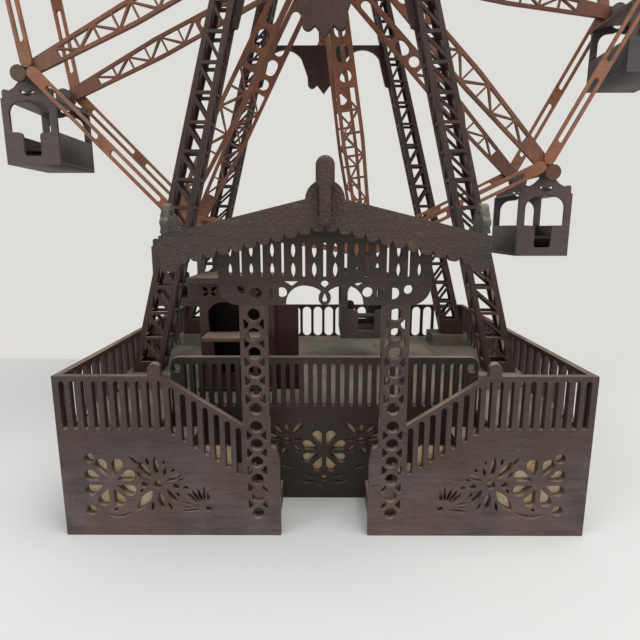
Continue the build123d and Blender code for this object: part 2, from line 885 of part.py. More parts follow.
spoke_turns = [first_spoke_deg + i * 360 / spoke_count for i in range(spoke_count)]
strut_turns = [turn + 180 / spoke_count for turn in spoke_turns]
for rim, (outer_y, inward) in rims.items():
    strut_y = min(outer_y, outer_y + inward * layer_thick)
    spoke_y = strut_y + inward * layer_thick
    spokes = []
    struts = []
    for spoke_turn, strut_turn in zip(spoke_turns, strut_turns):
        outline = turned(spoke_outline, spoke_turn)
        cuts = [turned(cut, spoke_turn) for cut in spoke_cuts]
        spokes.append(facing_board(outline, cuts, spoke_y, layer_thick))
        outline = turned(strut_outline, strut_turn)
        cuts = [turned(cut, strut_turn) for cut in strut_cuts]
        struts.append(facing_board(outline, cuts, strut_y, layer_thick))
    save(spokes, f"spokes_{rim}")
    save(struts, f"rim_struts_{rim}")


# Pivot rods from rim to rim, with a turned disc over each end

pivots = []
for turn in spoke_turns:
    pivot_x = pivot_radius * cos(radians(turn))
    pivot_z = hub_height + pivot_radius * sin(radians(turn))
    pivots.append((pivot_x, pivot_z))
rod_front = rim_front_y + 2 * layer_thick
rod_back = rim_rear_y - 2 * layer_thick
rods = [flat_sided_rod(rod_front, rod_back, rod_radius, x, z, rod_sides) for x, z in pivots]
save(rods, "pivot_rods")

discs = []
for x, z in pivots:
    for disc_y in (rim_front_y, rim_rear_y - layer_thick):
        discs.append(facing_board(ring(x, z, disc_radius), [], disc_y, layer_thick))
save(discs, "pivot_discs")


# Gondolas: two fretted end boards hung on a rod, with parapets, floor, seat and roof boards

cabin_half = gondola_width / 2
gondola_depth = rim_rear_y - rim_front_y - 4 * layer_thick - 2 * gondola_rim_gap
parapet_top = parapet_height - gondola_drop
gondola_front = wheel_centre_y - gondola_depth / 2
gondola_back = wheel_centre_y + gondola_depth / 2 - gondola_board
end_side = [
    (cabin_half, -gondola_drop),
    (cabin_half, -eave_drop),
    (cabin_half - 6, -eave_drop + 7),
    (head_radius, -head_radius * 0.75),
    (head_radius, head_radius * 0.4),
    (head_radius * 0.4, head_radius),
]
end_outline = end_side + list(reversed(mirrored(end_side)))
window_half_width = cabin_half - post_width
gate_half = gate_width / 2
gate_low = parapet_top - gate_depth
end_window = [
    (gate_half, gate_low),
    (gate_half, parapet_top),
    (window_half_width, parapet_top),
    (window_half_width, -window_head - 11),
    (window_half_width * 0.5, -window_head),
]
end_window = end_window + list(reversed(mirrored(end_window)))
pivot_hole_radius = rod_radius + running_clearance


def gondola_end(x, z, front):
    """One fretted end board with its pivot hole."""
    outline = [(x + px, z + pz) for px, pz in end_outline]
    window = [(x + px, z + pz) for px, pz in end_window]
    with BuildPart() as end:
        add(facing_board(outline, [window], front, gondola_board))
        back = front + gondola_board
        hole = flat_sided_rod(front, back, pivot_hole_radius, x, z, pivot_hole_sides, bore=True)
        add(hole, mode=Mode.SUBTRACT)
    return end.part


cabin_front = gondola_front + gondola_board
floor_top = gondola_board - gondola_drop
roof_slope = degrees(atan(8 / (cabin_half - head_radius)))
for number, (x, z) in enumerate(pivots, start=1):
    boards = [gondola_end(x, z, gondola_front), gondola_end(x, z, gondola_back)]
    inner_half = cabin_half - gondola_board
    floor_low = (x - cabin_half, cabin_front, z - gondola_drop)
    boards.append(slab(floor_low, (x + cabin_half, gondola_back, z + floor_top)))
    for side in (-1, 1):
        ends = sorted((x + side * inner_half, x + side * cabin_half))
        boards.append(slab((ends[0], cabin_front, z + floor_top), (ends[1], gondola_back, z + parapet_top)))
    seat_z = z + floor_top + seat_height
    seat_low = (x - inner_half, wheel_centre_y - seat_depth / 2, seat_z - gondola_board)
    boards.append(slab(seat_low, (x + inner_half, wheel_centre_y + seat_depth / 2, seat_z)))
    for side in (-1, 1):
        inner_edge = (x + side * 1, z - eave_drop + 6)
        outer_edge = (x + side * cabin_half, z - eave_drop)
        outline = [
            inner_edge,
            outer_edge,
            (outer_edge[0], outer_edge[1] - gondola_board / 2),
            (inner_edge[0], inner_edge[1] - gondola_board / 2),
        ]
        boards.append(facing_board(outline, [], cabin_front, gondola_back - cabin_front))
    save(boards, f"gondola_{number}")


# Crank behind the rear tower: an arm fixed on the axle, a pin and a turned knob

arm_half = crank_arm_width / 2
arm_outline = [
    (arm_half, hub_height + arm_half * 0.5),
    (arm_half * 0.5, hub_height + arm_half),
    (-arm_half * 0.5, hub_height + arm_half),
    (-arm_half, hub_height + arm_half * 0.5),
    (-arm_half * 0.8, hub_height - crank_radius - arm_half * 0.4),
    (-arm_half * 0.4, hub_height - crank_radius - arm_half * 0.8),
    (arm_half * 0.4, hub_height - crank_radius - arm_half * 0.8),
    (arm_half * 0.8, hub_height - crank_radius - arm_half * 0.4),
]
with BuildPart() as crank_arm:
    add(facing_board(arm_outline, [], crank_arm_near, crank_arm_thick))
    add(axle, mode=Mode.SUBTRACT)
save([crank_arm.part], "crank_arm")

crank_z = hub_height - crank_radius
knob_near = crank_arm_far + knob_end_gap
knob_far = knob_near + knob_length
pin_head = 3.0
with BuildPart() as crank_pin:
    head_y = knob_far + knob_end_gap
    add(flat_sided_rod(crank_arm_far, head_y, crank_pin_radius, 0, crank_z, knob_sides))
    add(flat_sided_rod(head_y, head_y + pin_head, crank_pin_radius * 2, 0, crank_z, knob_sides))
save([crank_pin.part], "crank_pin")

# The knob's girth at shares of its length, from the arm outwards
knob_girth = {0.0: 0.6, 0.2: 0.7, 0.65: 1.0, 0.9: 0.8, 1.0: 0.5}
knob_bore = crank_pin_radius + running_clearance
with BuildPart() as crank_knob:
    shares = sorted(knob_girth)
    for start, end in zip(shares[:-1], shares[1:]):
        length = (end - start) * knob_length
        swell = (knob_girth[end] - knob_girth[start]) * knob_body_radius * cos(pi / knob_sides)
        with BuildSketch(Plane.XZ.offset(-knob_near - end * knob_length)):
            with Locations((0, crank_z)):
                RegularPolygon(knob_girth[end] * knob_body_radius, knob_sides)
        extrude(amount=length, taper=degrees(atan(swell / length)))
    add(
        flat_sided_rod(knob_near, knob_far, knob_bore, 0, crank_z, knob_sides, bore=True),
        mode=Mode.SUBTRACT,
    )
save([crank_knob.part], "crank_knob")
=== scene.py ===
"""Dresses the crank ferris wheel toy: fretwork boards, lattice towers, wheel and gondolas."""

from math import cos, pi, radians, sin, tan

import bmesh
import bpy
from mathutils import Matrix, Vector


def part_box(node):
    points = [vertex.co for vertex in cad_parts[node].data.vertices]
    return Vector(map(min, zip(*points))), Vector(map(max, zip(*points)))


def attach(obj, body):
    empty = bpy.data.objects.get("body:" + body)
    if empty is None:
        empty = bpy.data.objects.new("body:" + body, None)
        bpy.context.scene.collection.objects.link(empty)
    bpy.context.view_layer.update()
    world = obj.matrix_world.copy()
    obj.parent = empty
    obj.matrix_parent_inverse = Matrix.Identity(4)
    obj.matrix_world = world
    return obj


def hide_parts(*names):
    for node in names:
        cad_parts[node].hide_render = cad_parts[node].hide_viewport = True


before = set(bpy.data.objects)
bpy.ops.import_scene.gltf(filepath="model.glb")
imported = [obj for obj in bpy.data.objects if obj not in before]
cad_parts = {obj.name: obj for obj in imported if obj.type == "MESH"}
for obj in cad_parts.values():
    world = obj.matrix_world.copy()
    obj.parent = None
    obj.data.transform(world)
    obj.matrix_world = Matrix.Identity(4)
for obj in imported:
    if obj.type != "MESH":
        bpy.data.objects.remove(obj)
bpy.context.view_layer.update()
scene = bpy.context.scene
MM = 0.001


# ---------------------------------------------------------------- camera, floor and light
# The toy stands on a pale cloth in front of a pale wall, seen from close to the entrance
# and a little above the deck, with a wide lens.

camera_data = bpy.data.cameras.new("camera")
camera_data.lens = 27.0
camera_data.sensor_width = 36.0
camera_data.sensor_fit = "HORIZONTAL"
camera_data.clip_start = 0.01
camera = bpy.data.objects.new("camera", camera_data)
camera.location = (-0.002, -0.530, 0.2435)
camera.rotation_euler = (radians(90 - 10.65), 0, radians(0.24))
scene.collection.objects.link(camera)
scene.camera = camera
scene.view_settings.view_transform = "Standard"


def backdrop(name, corners, colour, roughness):
    """A large plain sheet that isn't part of the toy."""
    mesh = bpy.data.meshes.new(name)
    mesh.from_pydata(corners, [], [(0, 1, 2, 3)])
    sheet = bpy.data.objects.new(name, mesh)
    scene.collection.objects.link(sheet)
    paint = bpy.data.materials.new(name)
    paint.use_nodes = True
    shader = paint.node_tree.nodes["Principled BSDF"]
    shader.inputs["Base Color"].default_value = colour
    shader.inputs["Roughness"].default_value = roughness
    mesh.materials.append(paint)


TABLE_HALF = 1.6
TABLE_BACK = 0.36
backdrop(
    "table_cloth",
    [
        (-TABLE_HALF, -TABLE_HALF, 0),
        (TABLE_HALF, -TABLE_HALF, 0),
        (TABLE_HALF, TABLE_BACK, 0),
        (-TABLE_HALF, TABLE_BACK, 0),
    ],
    (0.80, 0.82, 0.83, 1),
    0.9,
)


def soft_lamp(name, place, aim, size, power, colour):
    """One large soft studio light."""
    lamp = bpy.data.lights.new(name, "AREA")
    lamp.shape = "SQUARE"
    lamp.size = size
    lamp.energy = power
    lamp.color = colour
    holder = bpy.data.objects.new(name, lamp)
    holder.location = place
    holder.rotation_euler = (Vector(aim) - Vector(place)).to_track_quat("-Z", "Y").to_euler()
    scene.collection.objects.link(holder)


AIM = (0, 0, 0.25)
soft_lamp("overhead_lamp", (0.5, -0.5, 2.2), AIM, 1.6, 30, (1.0, 0.97, 0.93))
soft_lamp("left_lamp", (-1.8, -1.4, 1.3), AIM, 1.2, 14, (0.95, 0.98, 1.0))
soft_lamp("right_lamp", (1.8, -1.6, 1.0), AIM, 1.2, 8, (1.0, 0.97, 0.94))

world = bpy.data.worlds.new("studio")
scene.world = world
world.use_nodes = True
sky = world.node_tree.nodes["Background"]
sky.inputs["Color"].default_value = (0.80, 0.79, 0.765, 1)
sky.inputs["Strength"].default_value = 0.55
rays = world.node_tree.nodes.new("ShaderNodeLightPath")
wall_light = world.node_tree.nodes.new("ShaderNodeBackground")
wall_light.inputs["Color"].default_value = (0.735, 0.72, 0.69, 1)
wall_light.inputs["Strength"].default_value = 1.0
pick = world.node_tree.nodes.new("ShaderNodeMixShader")
world.node_tree.links.new(rays.outputs["Is Camera Ray"], pick.inputs[0])
world.node_tree.links.new(sky.outputs[0], pick.inputs[1])
world.node_tree.links.new(wall_light.outputs[0], pick.inputs[2])
world.node_tree.links.new(pick.outputs[0], world.node_tree.nodes["World Output"].inputs[0])


# ---------------------------------------------------------------- stained wood
# Every board is sawn from the same thin walnut-like wood, stained and rubbed with oil. The
# grain runs along one axis, the stain is blotchy, and ledges turn pale, partly from dust and
# bare wood and partly as painted light from above.


class Shade:
    """A node socket that takes part in plain arithmetic."""

    def __init__(self, finish, socket):
        self.finish = finish
        self.socket = socket

    def maths(self, operation, first, second):
        return self.finish.node("ShaderNodeMath", {"operation": operation}, {0: first, 1: second})

    def __add__(self, other):
        return self.maths("ADD", self, other)

    def __sub__(self, other):
        return self.maths("SUBTRACT", self, other)

    def __mul__(self, other):
        return self.maths("MULTIPLY", self, other)

    def __rsub__(self, other):
        return self.maths("SUBTRACT", other, self)

    __radd__ = __add__
    __rmul__ = __mul__


class Finish:
    """The nodes of one material, made one by one."""

    def __init__(self, name):
        self.material = bpy.data.materials.new(name)
        self.material.use_nodes = True
        self.tree = self.material.node_tree
        self.shader = self.tree.nodes["Principled BSDF"]

    def node(self, kind, settings, sockets, output=0):
        """A node with its settings first and then the values or links of its sockets."""
        made = self.tree.nodes.new(kind)
        for key, value in settings.items():
            setattr(made, key, value)
        for key, value in sockets.items():
            if isinstance(value, Shade):
                self.tree.links.new(value.socket, made.inputs[key])
            else:
                made.inputs[key].default_value = value
        return Shade(self, made.outputs[output])

    def mixed(self, factor, first, second):
        """Two colours mixed by a factor."""
        sockets = {0: factor, 6: first, 7: second}
        return self.node("ShaderNodeMix", {"data_type": "RGBA"}, sockets, 2)

    def noise(self, scales, detail, offset=(0, 0, 0)):
        """Noise on Object coordinates, with its own scale along each axis."""
        place = self.node("ShaderNodeTexCoord", {}, {}, 3)
        moved = self.node("ShaderNodeMapping", {}, {0: place, 1: offset, 3: scales})
        return self.node("ShaderNodeTexNoise", {}, {"Vector": moved, "Scale": 1.0, "Detail": detail})

    def ramp(self, factor, low, high):
        """A factor stretched so that low becomes 0 and high becomes 1."""
        sockets = {0: factor, 1: low, 2: high}
        return self.node("ShaderNodeMapRange", {"interpolation_type": "SMOOTHSTEP"}, sockets)

    def spots(self, scale, detail, low, high, offset=(0, 0, 0)):
        """The same noise along every axis, stretched between two levels."""
        return self.ramp(self.noise((scale, scale, scale), detail, offset), low, high)

    def bump(self, strength, distance, height):
        """Relief of the surface."""
        sockets = {"Strength": strength, "Distance": distance, "Height": height}
        self.link("Normal", self.node("ShaderNodeBump", {}, sockets))

    def link(self, socket, value):
        self.tree.links.new(value.socket, self.shader.inputs[socket])


def linear(red, green, blue):
    """A colour given as it shows on a screen, 0 to 255."""
    return tuple((c / 255) ** 2.2 for c in (red, green, blue)) + (1,)


GRAIN_FINE = 900.0
GRAIN_LONG = 22.0
BROWN = linear(62, 42, 36)
DUST_AND_TOPLIGHT = linear(176, 160, 142)


def stained_wood(name, dark, light, grain, ledge_dust_and_light=0.35, gloss=0.42, pebble=0.0, sheen_gradient=0.0, dust_and_toplight=DUST_AND_TOPLIGHT):
    """Stained board: streaks along the grain, blotches, pores, and a pale colour on what faces up that is
    partly dusting and bare wood and partly painted light from above.

    The grain is the axis it runs along. Pebble roughens the face, and a height gradient browns the top and
    leaves the lower part grey as a painted sheen."""
    finish = Finish(name)
    across = [GRAIN_FINE * 0.35] * 3
    across[grain] = GRAIN_LONG
    pores = [GRAIN_FINE] * 3
    pores[grain] = GRAIN_LONG * 4
    streaks = finish.ramp(finish.noise(tuple(across), 4.0), 0.22, 0.80)
    blotches = finish.spots(28.0, 3.0, 0.32, 0.70, (3.1, 0, 1.7))
    patches = finish.spots(13.0, 4.0, 0.40, 0.66, (0, 6.4, 2.2))
    specks = finish.spots(520.0, 1.0, 0.71, 0.78, (4.4, 0, 8.8))
    pits = finish.ramp(finish.noise(tuple(pores), 1.0, (0, 5.2, 0)), 0.62, 0.74)
    scuffs = finish.spots(130.0, 5.0, 0.62, 0.80, (7.7, 2.3, 0))
    grit = finish.spots(1100.0, 2.0, 0.35, 0.70, (0, 0, 9.1))
    tone = streaks * 0.35 + blotches * 0.40 + grit * 0.25
    wood = finish.mixed(tone, dark, light)
    red = (light[0] * 0.95, light[1] * 0.60, light[2] * 0.50, 1)
    wood = finish.mixed(patches * (0.25 + 0.50 * tone), wood, red)
    # Painted sheen: the board browns towards its top, and its lower part stays grey to stand for a sheen.
    if sheen_gradient:
        place = finish.node("ShaderNodeTexCoord", {}, {}, 3)
        up = finish.node("ShaderNodeSeparateXYZ", {}, {0: place}, 2)
        sheen_gradient_mask = finish.ramp(up + 0.03 * patches, 0.035, 0.100)
        wood = finish.mixed(sheen_gradient_mask * sheen_gradient, wood, BROWN)
    wood = finish.mixed(pits * 0.55, wood, tuple(c * 0.35 for c in dark[:3]) + (1,))
    # Painted light: what faces up turns to the pale colour, partly real dust and bare wood, partly painted
    # light falling from above.
    normal = finish.node("ShaderNodeNewGeometry", {}, {}, 1)
    upward = finish.node("ShaderNodeSeparateXYZ", {}, {0: normal}, 2)
    ledge_dust_and_toplight = finish.ramp(upward, 0.35, 0.95)
    dust_and_toplight_cover = ledge_dust_and_toplight * (0.55 + 0.45 * blotches) * ledge_dust_and_light + scuffs * 0.10 + specks * 0.16
    wood = finish.mixed(dust_and_toplight_cover, wood, dust_and_toplight)
    finish.link("Base Color", wood)
    finish.link("Roughness", gloss + 0.22 * blotches + 0.25 * ledge_dust_and_toplight)
    height = streaks * 0.4 - pits * 0.9 + scuffs * 0.25 + grit * 0.3
    if pebble:
        grains = finish.spots(560.0, 1.0, 0.36, 0.62, (2.6, 0, 0))
        height = height + grains * pebble
    finish.bump(0.22 + 0.14 * pebble, 0.0004, height)
    return finish.material


X_GRAIN = 0
Y_GRAIN = 1
Z_GRAIN = 2
base_wood = stained_wood(
    "base_walnut", linear(44, 35, 34), linear(108, 96, 95), X_GRAIN, ledge_dust_and_light=0.65, sheen_gradient=0.7
)
inner_wood = stained_wood("inner_walnut", linear(36, 28, 27), linear(62, 51, 48), X_GRAIN, ledge_dust_and_light=0.65)
wall_wood = stained_wood(
    "wall_walnut", linear(40, 32, 31), linear(96, 84, 82), Y_GRAIN, ledge_dust_and_light=0.55, sheen_gradient=0.7
)
post_wood = stained_wood("post_walnut", linear(48, 38, 35), linear(84, 70, 64), Z_GRAIN, ledge_dust_and_light=0.9)
header_wood = stained_wood("header_walnut", linear(40, 32, 29), linear(74, 61, 55), X_GRAIN, ledge_dust_and_light=0.8)


# ---------------------------------------------------------------- front panels
# Each front panel is one board: a level fence, a sloping stair rail with a round knob, the foot
# of a pillar and a pierced group of flowers. It is sawn out, and its edges are rubbed down.

EDGE = 0.25 * MM


def arc(x, z, radius, start_deg, end_deg, steps):
    """Points along a round saw cut."""
    turns = [radians(start_deg + (end_deg - start_deg) * i / steps) for i in range(steps + 1)]
    return [(x + radius * cos(turn), z + radius * sin(turn)) for turn in turns]


def ring(x, z, radius, steps=20):
    """A round hole."""
    return arc(x, z, radius, 0, 360, steps)[:-1]


def slot(x, low, high, width):
    """A tall slot with round ends."""
    half = width / 2
    return arc(x, high - half, half, 0, 180, 8) + arc(x, low + half, half, 180, 360, 8)


def oblong(left, low, right, high):
    """The corners of a straight-sided board or cut."""
    return [(left, low), (right, low), (right, high), (left, high)]


def leaf(x0, z0, x1, z1, width, bend=0.0):
    """A pointed leaf between two tips, bent sideways by a share of its length."""
    steps = 7
    side = []
    other = []
    for i in range(steps + 1):
        t = i / steps
        swell = width / 2 * sin(pi * t) ** 0.8
        arch = bend * sin(pi * t)
        x = x0 + (x1 - x0) * t - (z1 - z0) * arch
        z = z0 + (z1 - z0) * t + (x1 - x0) * arch
        length = ((x1 - x0) ** 2 + (z1 - z0) ** 2) ** 0.5
        nx, nz = -(z1 - z0) / length, (x1 - x0) / length
        side.append((x + nx * swell, z + nz * swell))
        if 0 < i < steps:
            other.append((x - nx * swell, z - nz * swell))
    return side + other[::-1]


def petal(x, z, turn_deg, near, far, width):
    """A teardrop with its point towards the flower's centre."""
    head = width / 2
    shape = [(near, 0)] + arc(far - head, 0, head, -100, 100, 9)
    c, s = cos(radians(turn_deg)), sin(radians(turn_deg))
    return [(x + u * c - v * s, z + u * s + v * c) for u, v in shape]


def mirrored(loops):
    return [[(-x, z) for x, z in loop] for loop in loops]


def sawn_board(name, loops, front, thick, body, slot_name, material, facing="y", edge=EDGE):
    """A board in millimetres: the first loop is its outline, and the others are cut-outs."""
    curve = bpy.data.curves.new(name, "CURVE")
    curve.dimensions = "2D"
    curve.fill_mode = "BOTH"
    curve.extrude = thick * MM / 2 - edge
    curve.bevel_depth = edge
    curve.bevel_resolution = 1
    curve.offset = -edge
    for loop in loops:
        spline = curve.splines.new("POLY")
        spline.points.add(len(loop) - 1)
        for point, (u, v) in zip(spline.points, loop):
            point.co = (u * MM, v * MM, 0, 1)
        spline.use_cyclic_u = True
    holder = bpy.data.objects.new(name + "_outline", curve)
    scene.collection.objects.link(holder)
    graph = bpy.context.evaluated_depsgraph_get()
    mesh = bpy.data.meshes.new_from_object(holder.evaluated_get(graph))
    bpy.data.objects.remove(holder)
    middle = (front + thick / 2) * MM
    for vertex in mesh.vertices:
        u, v, w = vertex.co
        if facing == "y":
            vertex.co = (u, middle + w, v)
        elif facing == "x":
            vertex.co = (middle + w, u, v)
        else:
            vertex.co = (u, v, middle + w)
    return finished(name, mesh, body, slot_name, material)


def finished(name, mesh, body, slot_name, material):
    """Welds a mesh, points its faces outwards and sets it on its body."""
    work = bmesh.new()
    work.from_mesh(mesh)
    bmesh.ops.remove_doubles(work, verts=work.verts, dist=0.00001)
    bmesh.ops.recalc_face_normals(work, faces=work.faces)
    work.to_mesh(mesh)
    work.free()
    mesh.materials.clear()
    mesh.materials.append(material)
    piece = bpy.data.objects.new(name, mesh)
    scene.collection.objects.link(piece)
    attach(piece, body)
    return piece


def board_pair(node, ending, loops, front, slot_name, material):
    """A right-hand board and its mirror image, each in place of its own CAD node."""
    for side, shape in (("right", loops), ("left", mirrored(loops))):
        name = f"{node}_{side}"
        board = sawn_board(f"{name}_{ending}", shape, front, WALL, "base", slot_name, material)
        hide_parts(name)


def edges_of(node):
    """A CAD node's lowest and highest corners in millimetres."""
    low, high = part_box(node)
    return [c / MM for c in low], [c / MM for c in high]


WALL = 6.0
panel_low, panel_high = edges_of("front_panel_right")
front_y = panel_low[1]
entrance = panel_low[0]
half_width = panel_high[0]
fence_top = edges_of("side_wall_right")[1][2]
deck_top = edges_of("deck_main")[1][2]
pillar_low, pillar_high = edges_of("pillar_right")

KNOB_RADIUS = 5.0
KNOB_X = half_width - 78.6
RAIL_SLOPE = 40.1 / 61.6
SHOULDER = 72.0
SLOT_PITCH = 8.4
SLOT_WIDTH = 4.3
SLOT_LENGTH = 39.0


def rail_top(x):
    return fence_top - max(0.0, KNOB_X - KNOB_RADIUS - x) * RAIL_SLOPE


RING_RADIUS = 4.8
RING_OUTSIDE = 7.2
RING_PITCH = 14.7
FIRST_RING = 19.7
pillar_middle = (pillar_low[0] + pillar_high[0]) / 2


def pillar_piercings(first, last):
    """Round holes up a pillar, with a three-cornered cut each side where the rings meet."""
    cuts = []
    rise = RING_PITCH / 2
    for i in range(first, last):
        z = FIRST_RING + i * RING_PITCH
        cuts.append(ring(pillar_middle, z, RING_RADIUS))
        if i < last - 1:
            for side in (-1, 1):
                half = [(x, rise - (RING_OUTSIDE**2 - x * x) ** 0.5) for x in (3.4, 4.4, 5.4, 6.2)]
                half = half + [(7.7, rise - 3.0)]
                shape = half + [(x, -v) for x, v in half[:0:-1]]
                cuts.append([(pillar_middle + side * x, z + rise + v) for x, v in shape])
    return cuts


panel_outline = (
    [(entrance, 0), (half_width, 0), (half_width, fence_top), (KNOB_X + KNOB_RADIUS, fence_top)]
    + arc(KNOB_X, fence_top + KNOB_RADIUS, KNOB_RADIUS, -20, 200, 12)
    + [(KNOB_X - KNOB_RADIUS, fence_top), (pillar_high[0], rail_top(pillar_high[0]))]
    + [(pillar_high[0], pillar_low[2]), (pillar_low[0], pillar_low[2])]
    + [(pillar_low[0], SHOULDER + 5)]
    + arc(pillar_low[0] - 1, SHOULDER - 1, 5, 110, 180, 5)
    + [(entrance, SHOULDER - 8)]
)
front_slots = []
for i in range(17):
    x = half_width - WALL - 1.15 - i * SLOT_PITCH
    top = rail_top(x) - 4
    front_slots.append(slot(x, top - SLOT_LENGTH, top, SLOT_WIDTH))

FLOWER_X = 170.0
FLOWER_Z = 46.0
rosette = [petal(FLOWER_X, FLOWER_Z, 22.5 + 45 * i, 5.5, 21.5, 9.4) for i in range(8)]
corner_dots = [ring(185, 67, 4), ring(186.6, 22, 4.2), ring(FLOWER_X - 3, 22.5, 1.6, 10)]
tendril = [leaf(FLOWER_X + 8, 20, FLOWER_X - 17, 21, 2.4, 0.15)]

STAR_X = 132.0
STAR_Z = 44.5
# Each leaf of the star flower: its two tips from the flower's centre, inwards positive, and width.
star_leaves = [
    (4.9, 4.9, 15.9, 20.0, 6.0),
    (14.5, 15.5, 21.2, 24.0, 2.4),
    (12.8, 5.0, 16.5, 11.5, 1.8),
    (0.4, 7.5, 1.6, 23.7, 4.4),
    (6.9, 16.0, 8.2, 22.9, 2.2),
    (-4.5, 7.2, -7.8, 15.8, 2.6),
    (-4.6, 17.0, -6.0, 20.5, 1.5),
    (-11.0, 10.6, -13.7, 13.6, 2.0),
    (-6.8, 2.6, -19.2, 8.8, 4.4),
    (-15.5, 2.6, -20.6, 5.2, 1.8),
    (4.6, -5.0, 18.0, -23.0, 7.4),
    (-1.0, -6.2, -2.6, -21.4, 5.0),
    (-6.6, -4.2, -14.8, -16.0, 4.2),
    (4.6, -14.5, 6.2, -23.4, 2.2),
    (-7.0, -15.0, -10.4, -22.6, 1.8),
    (12.6, -3.5, 14.6, -7.5, 1.8),
    (-14.2, -6.5, -17.0, -11.4, 2.0),
    (-19.6, -2.2, -24.4, -3.4, 3.2),
    # The half palm beside it.
    (-32.0, -17.2, -22.6, -7.0, 2.6),
    (-33.2, -16.4, -26.2, -4.4, 2.6),
    (-34.6, -15.4, -31.0, -3.6, 3.0),
    (-36.0, -15.0, -36.6, -1.6, 2.4),
    (-38.6, -14.8, -40.4, -4.4, 3.0),
    (-34.0, -21.6, -16.3, -23.4, 2.2),
    (-27.4, -17.4, -17.4, -15.2, 1.8),
    (-26.0, -19.6, -19.0, -20.2, 1.3),
]
star = [leaf(STAR_X + a, STAR_Z + b, STAR_X + c, STAR_Z + d, w) for a, b, c, d, w in star_leaves]
star += [ring(STAR_X + 10.6, STAR_Z, 2.7, 12), ring(STAR_X, STAR_Z, 3.5, 14)]
star += [ring(STAR_X - 14.2, STAR_Z - 1.6, 2.5, 12), ring(STAR_X - 39.4, STAR_Z - 21, 2.5, 12)]

rings_low = int((pillar_low[2] - FIRST_RING) / RING_PITCH + 0.9)
panel_cuts = front_slots + pillar_piercings(0, rings_low) + rosette + corner_dots + tendril + star
panel_loops = [panel_outline] + panel_cuts
board_pair("front_panel", "board", panel_loops, front_y, "base_walnut", base_wood)


# ---------------------------------------------------------------- entrance pillars and header
# Two columns of sawn rings carry the header, a board with two arches that cross in a hanging
# loop, round piercings over the pillars and a band of plain lancets and lozenges.

rings_all = int((pillar_high[2] - FIRST_RING) / RING_PITCH + 0.9)
pillar_outline = oblong(pillar_low[0], pillar_low[2], pillar_high[0], pillar_high[2])
pillar_loops = [pillar_outline] + pillar_piercings(rings_low, rings_all)
board_pair("pillar", "board", pillar_loops, front_y, "base_walnut", post_wood)

header_low, header_high = edges_of("header_board")
header_foot = header_low[2]
header_half = header_high[0]
header_peak = header_high[2]
GABLE_SLOPE = tan(radians(13.5))
bracket = header_half - pillar_high[0]
ARCH_X = 15.5
ARCH_HALF = 13.4
ARCH_RISE = 14.5
SHOULDER_HALF = 15.0
SHOULDER_RISE = 9.0
LOOP_HALF = 4.6
LOOP_RISE = 5.2


def oval_arc(x, z, half_width, half_height, start_deg, end_deg, steps):
    """Points along a part of an oval."""
    turns = arc(0, 0, 1, start_deg, end_deg, steps)
    return [(x + half_width * u, z + half_height * v) for u, v in turns]


half_loop = (
    [(header_half, header_peak - header_half * GABLE_SLOPE)]
    + arc(header_half - bracket, header_foot + bracket, bracket, 0, -90, 9)
    + oval_arc(ARCH_X, header_foot, ARCH_HALF, ARCH_RISE, 0, 90, 10)
    + oval_arc(ARCH_X, header_foot + ARCH_RISE - SHOULDER_RISE, SHOULDER_HALF, SHOULDER_RISE, 90, 150, 6)[1:]
    + oval_arc(0, header_foot + LOOP_RISE, LOOP_HALF, LOOP_RISE, 45, -80, 8)
)
header_outline = [(0, header_peak)] + half_loop + [(0, header_foot)] + mirrored([half_loop])[0][::-1]
header_cuts = [
    petal(0, header_foot + 9, -90, 0, 7.2, 3.8),
    petal(0, header_foot + 12.6, 90, 0, 5.6, 5.6),
]
for side in (-1, 1):
    header_cuts.append(ring(side * 61.6, header_foot + 11.4, 3.5, 16))
    header_cuts.append(ring(side * (pillar_middle - 2), header_foot + 8.4, 4.6))
    header_cuts.append(ring(side * 31.6, header_foot + 9.4, 3.9, 16))
    header_cuts.append(slot(side * 39.6, header_foot + 5.4, header_foot + 12, 2.2))
    # A three-cornered cut over the outer half of each arch.
    corners = [(19, 17.6), (31.5, 17.6), (27.6, 15.9), (24.5, 13.8), (21.2, 16.2)]
    header_cuts.append([(side * x, header_foot + z) for x, z in corners])
BAND_LOW = header_foot + 20.5
BAND_HIGH = header_foot + 45.5
BAND_PITCH = 7.7
BAND_COUNT = 19
SLIT = 2.1
LOZENGE = 3.3
for i in range(BAND_COUNT):
    x = (i - (BAND_COUNT - 1) / 2) * BAND_PITCH
    top = min(BAND_HIGH, header_peak - (abs(x) + 2) * GABLE_SLOPE - 4)
    if i % 2:
        header_cuts.append(slot(x, BAND_LOW, top, SLIT))
    else:
        middle = (BAND_LOW + top) / 2
        header_cuts.append(leaf(x, middle + 1.6, x, top, LOZENGE))
        header_cuts.append(leaf(x, BAND_LOW, x, middle - 1.6, LOZENGE))
header = sawn_board(
    "header_fretwork", [header_outline] + header_cuts, front_y, WALL, "base", "base_walnut", header_wood
)
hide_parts("header_board")


# ---------------------------------------------------------------- gable, finial and eave ornaments
# Two scalloped bargeboards meet at the ridge under a rounded finial board. A carved leaf stands
# at each eave. The wood is greyer here, and its face is pebbled.

gable_wood = stained_wood(
    "gable_walnut", linear(46, 38, 34), linear(82, 70, 63), X_GRAIN, ledge_dust_and_light=0.3, gloss=0.5, pebble=2.6
)
gable_finish = ("base", "gable_walnut", gable_wood)
barge_low, barge_high = edges_of("bargeboard_right")
gable_half = barge_high[0]
gable_top = barge_high[2]
BARGE_HEIGHT = 23.6
SCALLOP = 9.1
SCALLOP_DEPTH = 3.4


def gable_line(x):
    return gable_top - abs(x) * GABLE_SLOPE


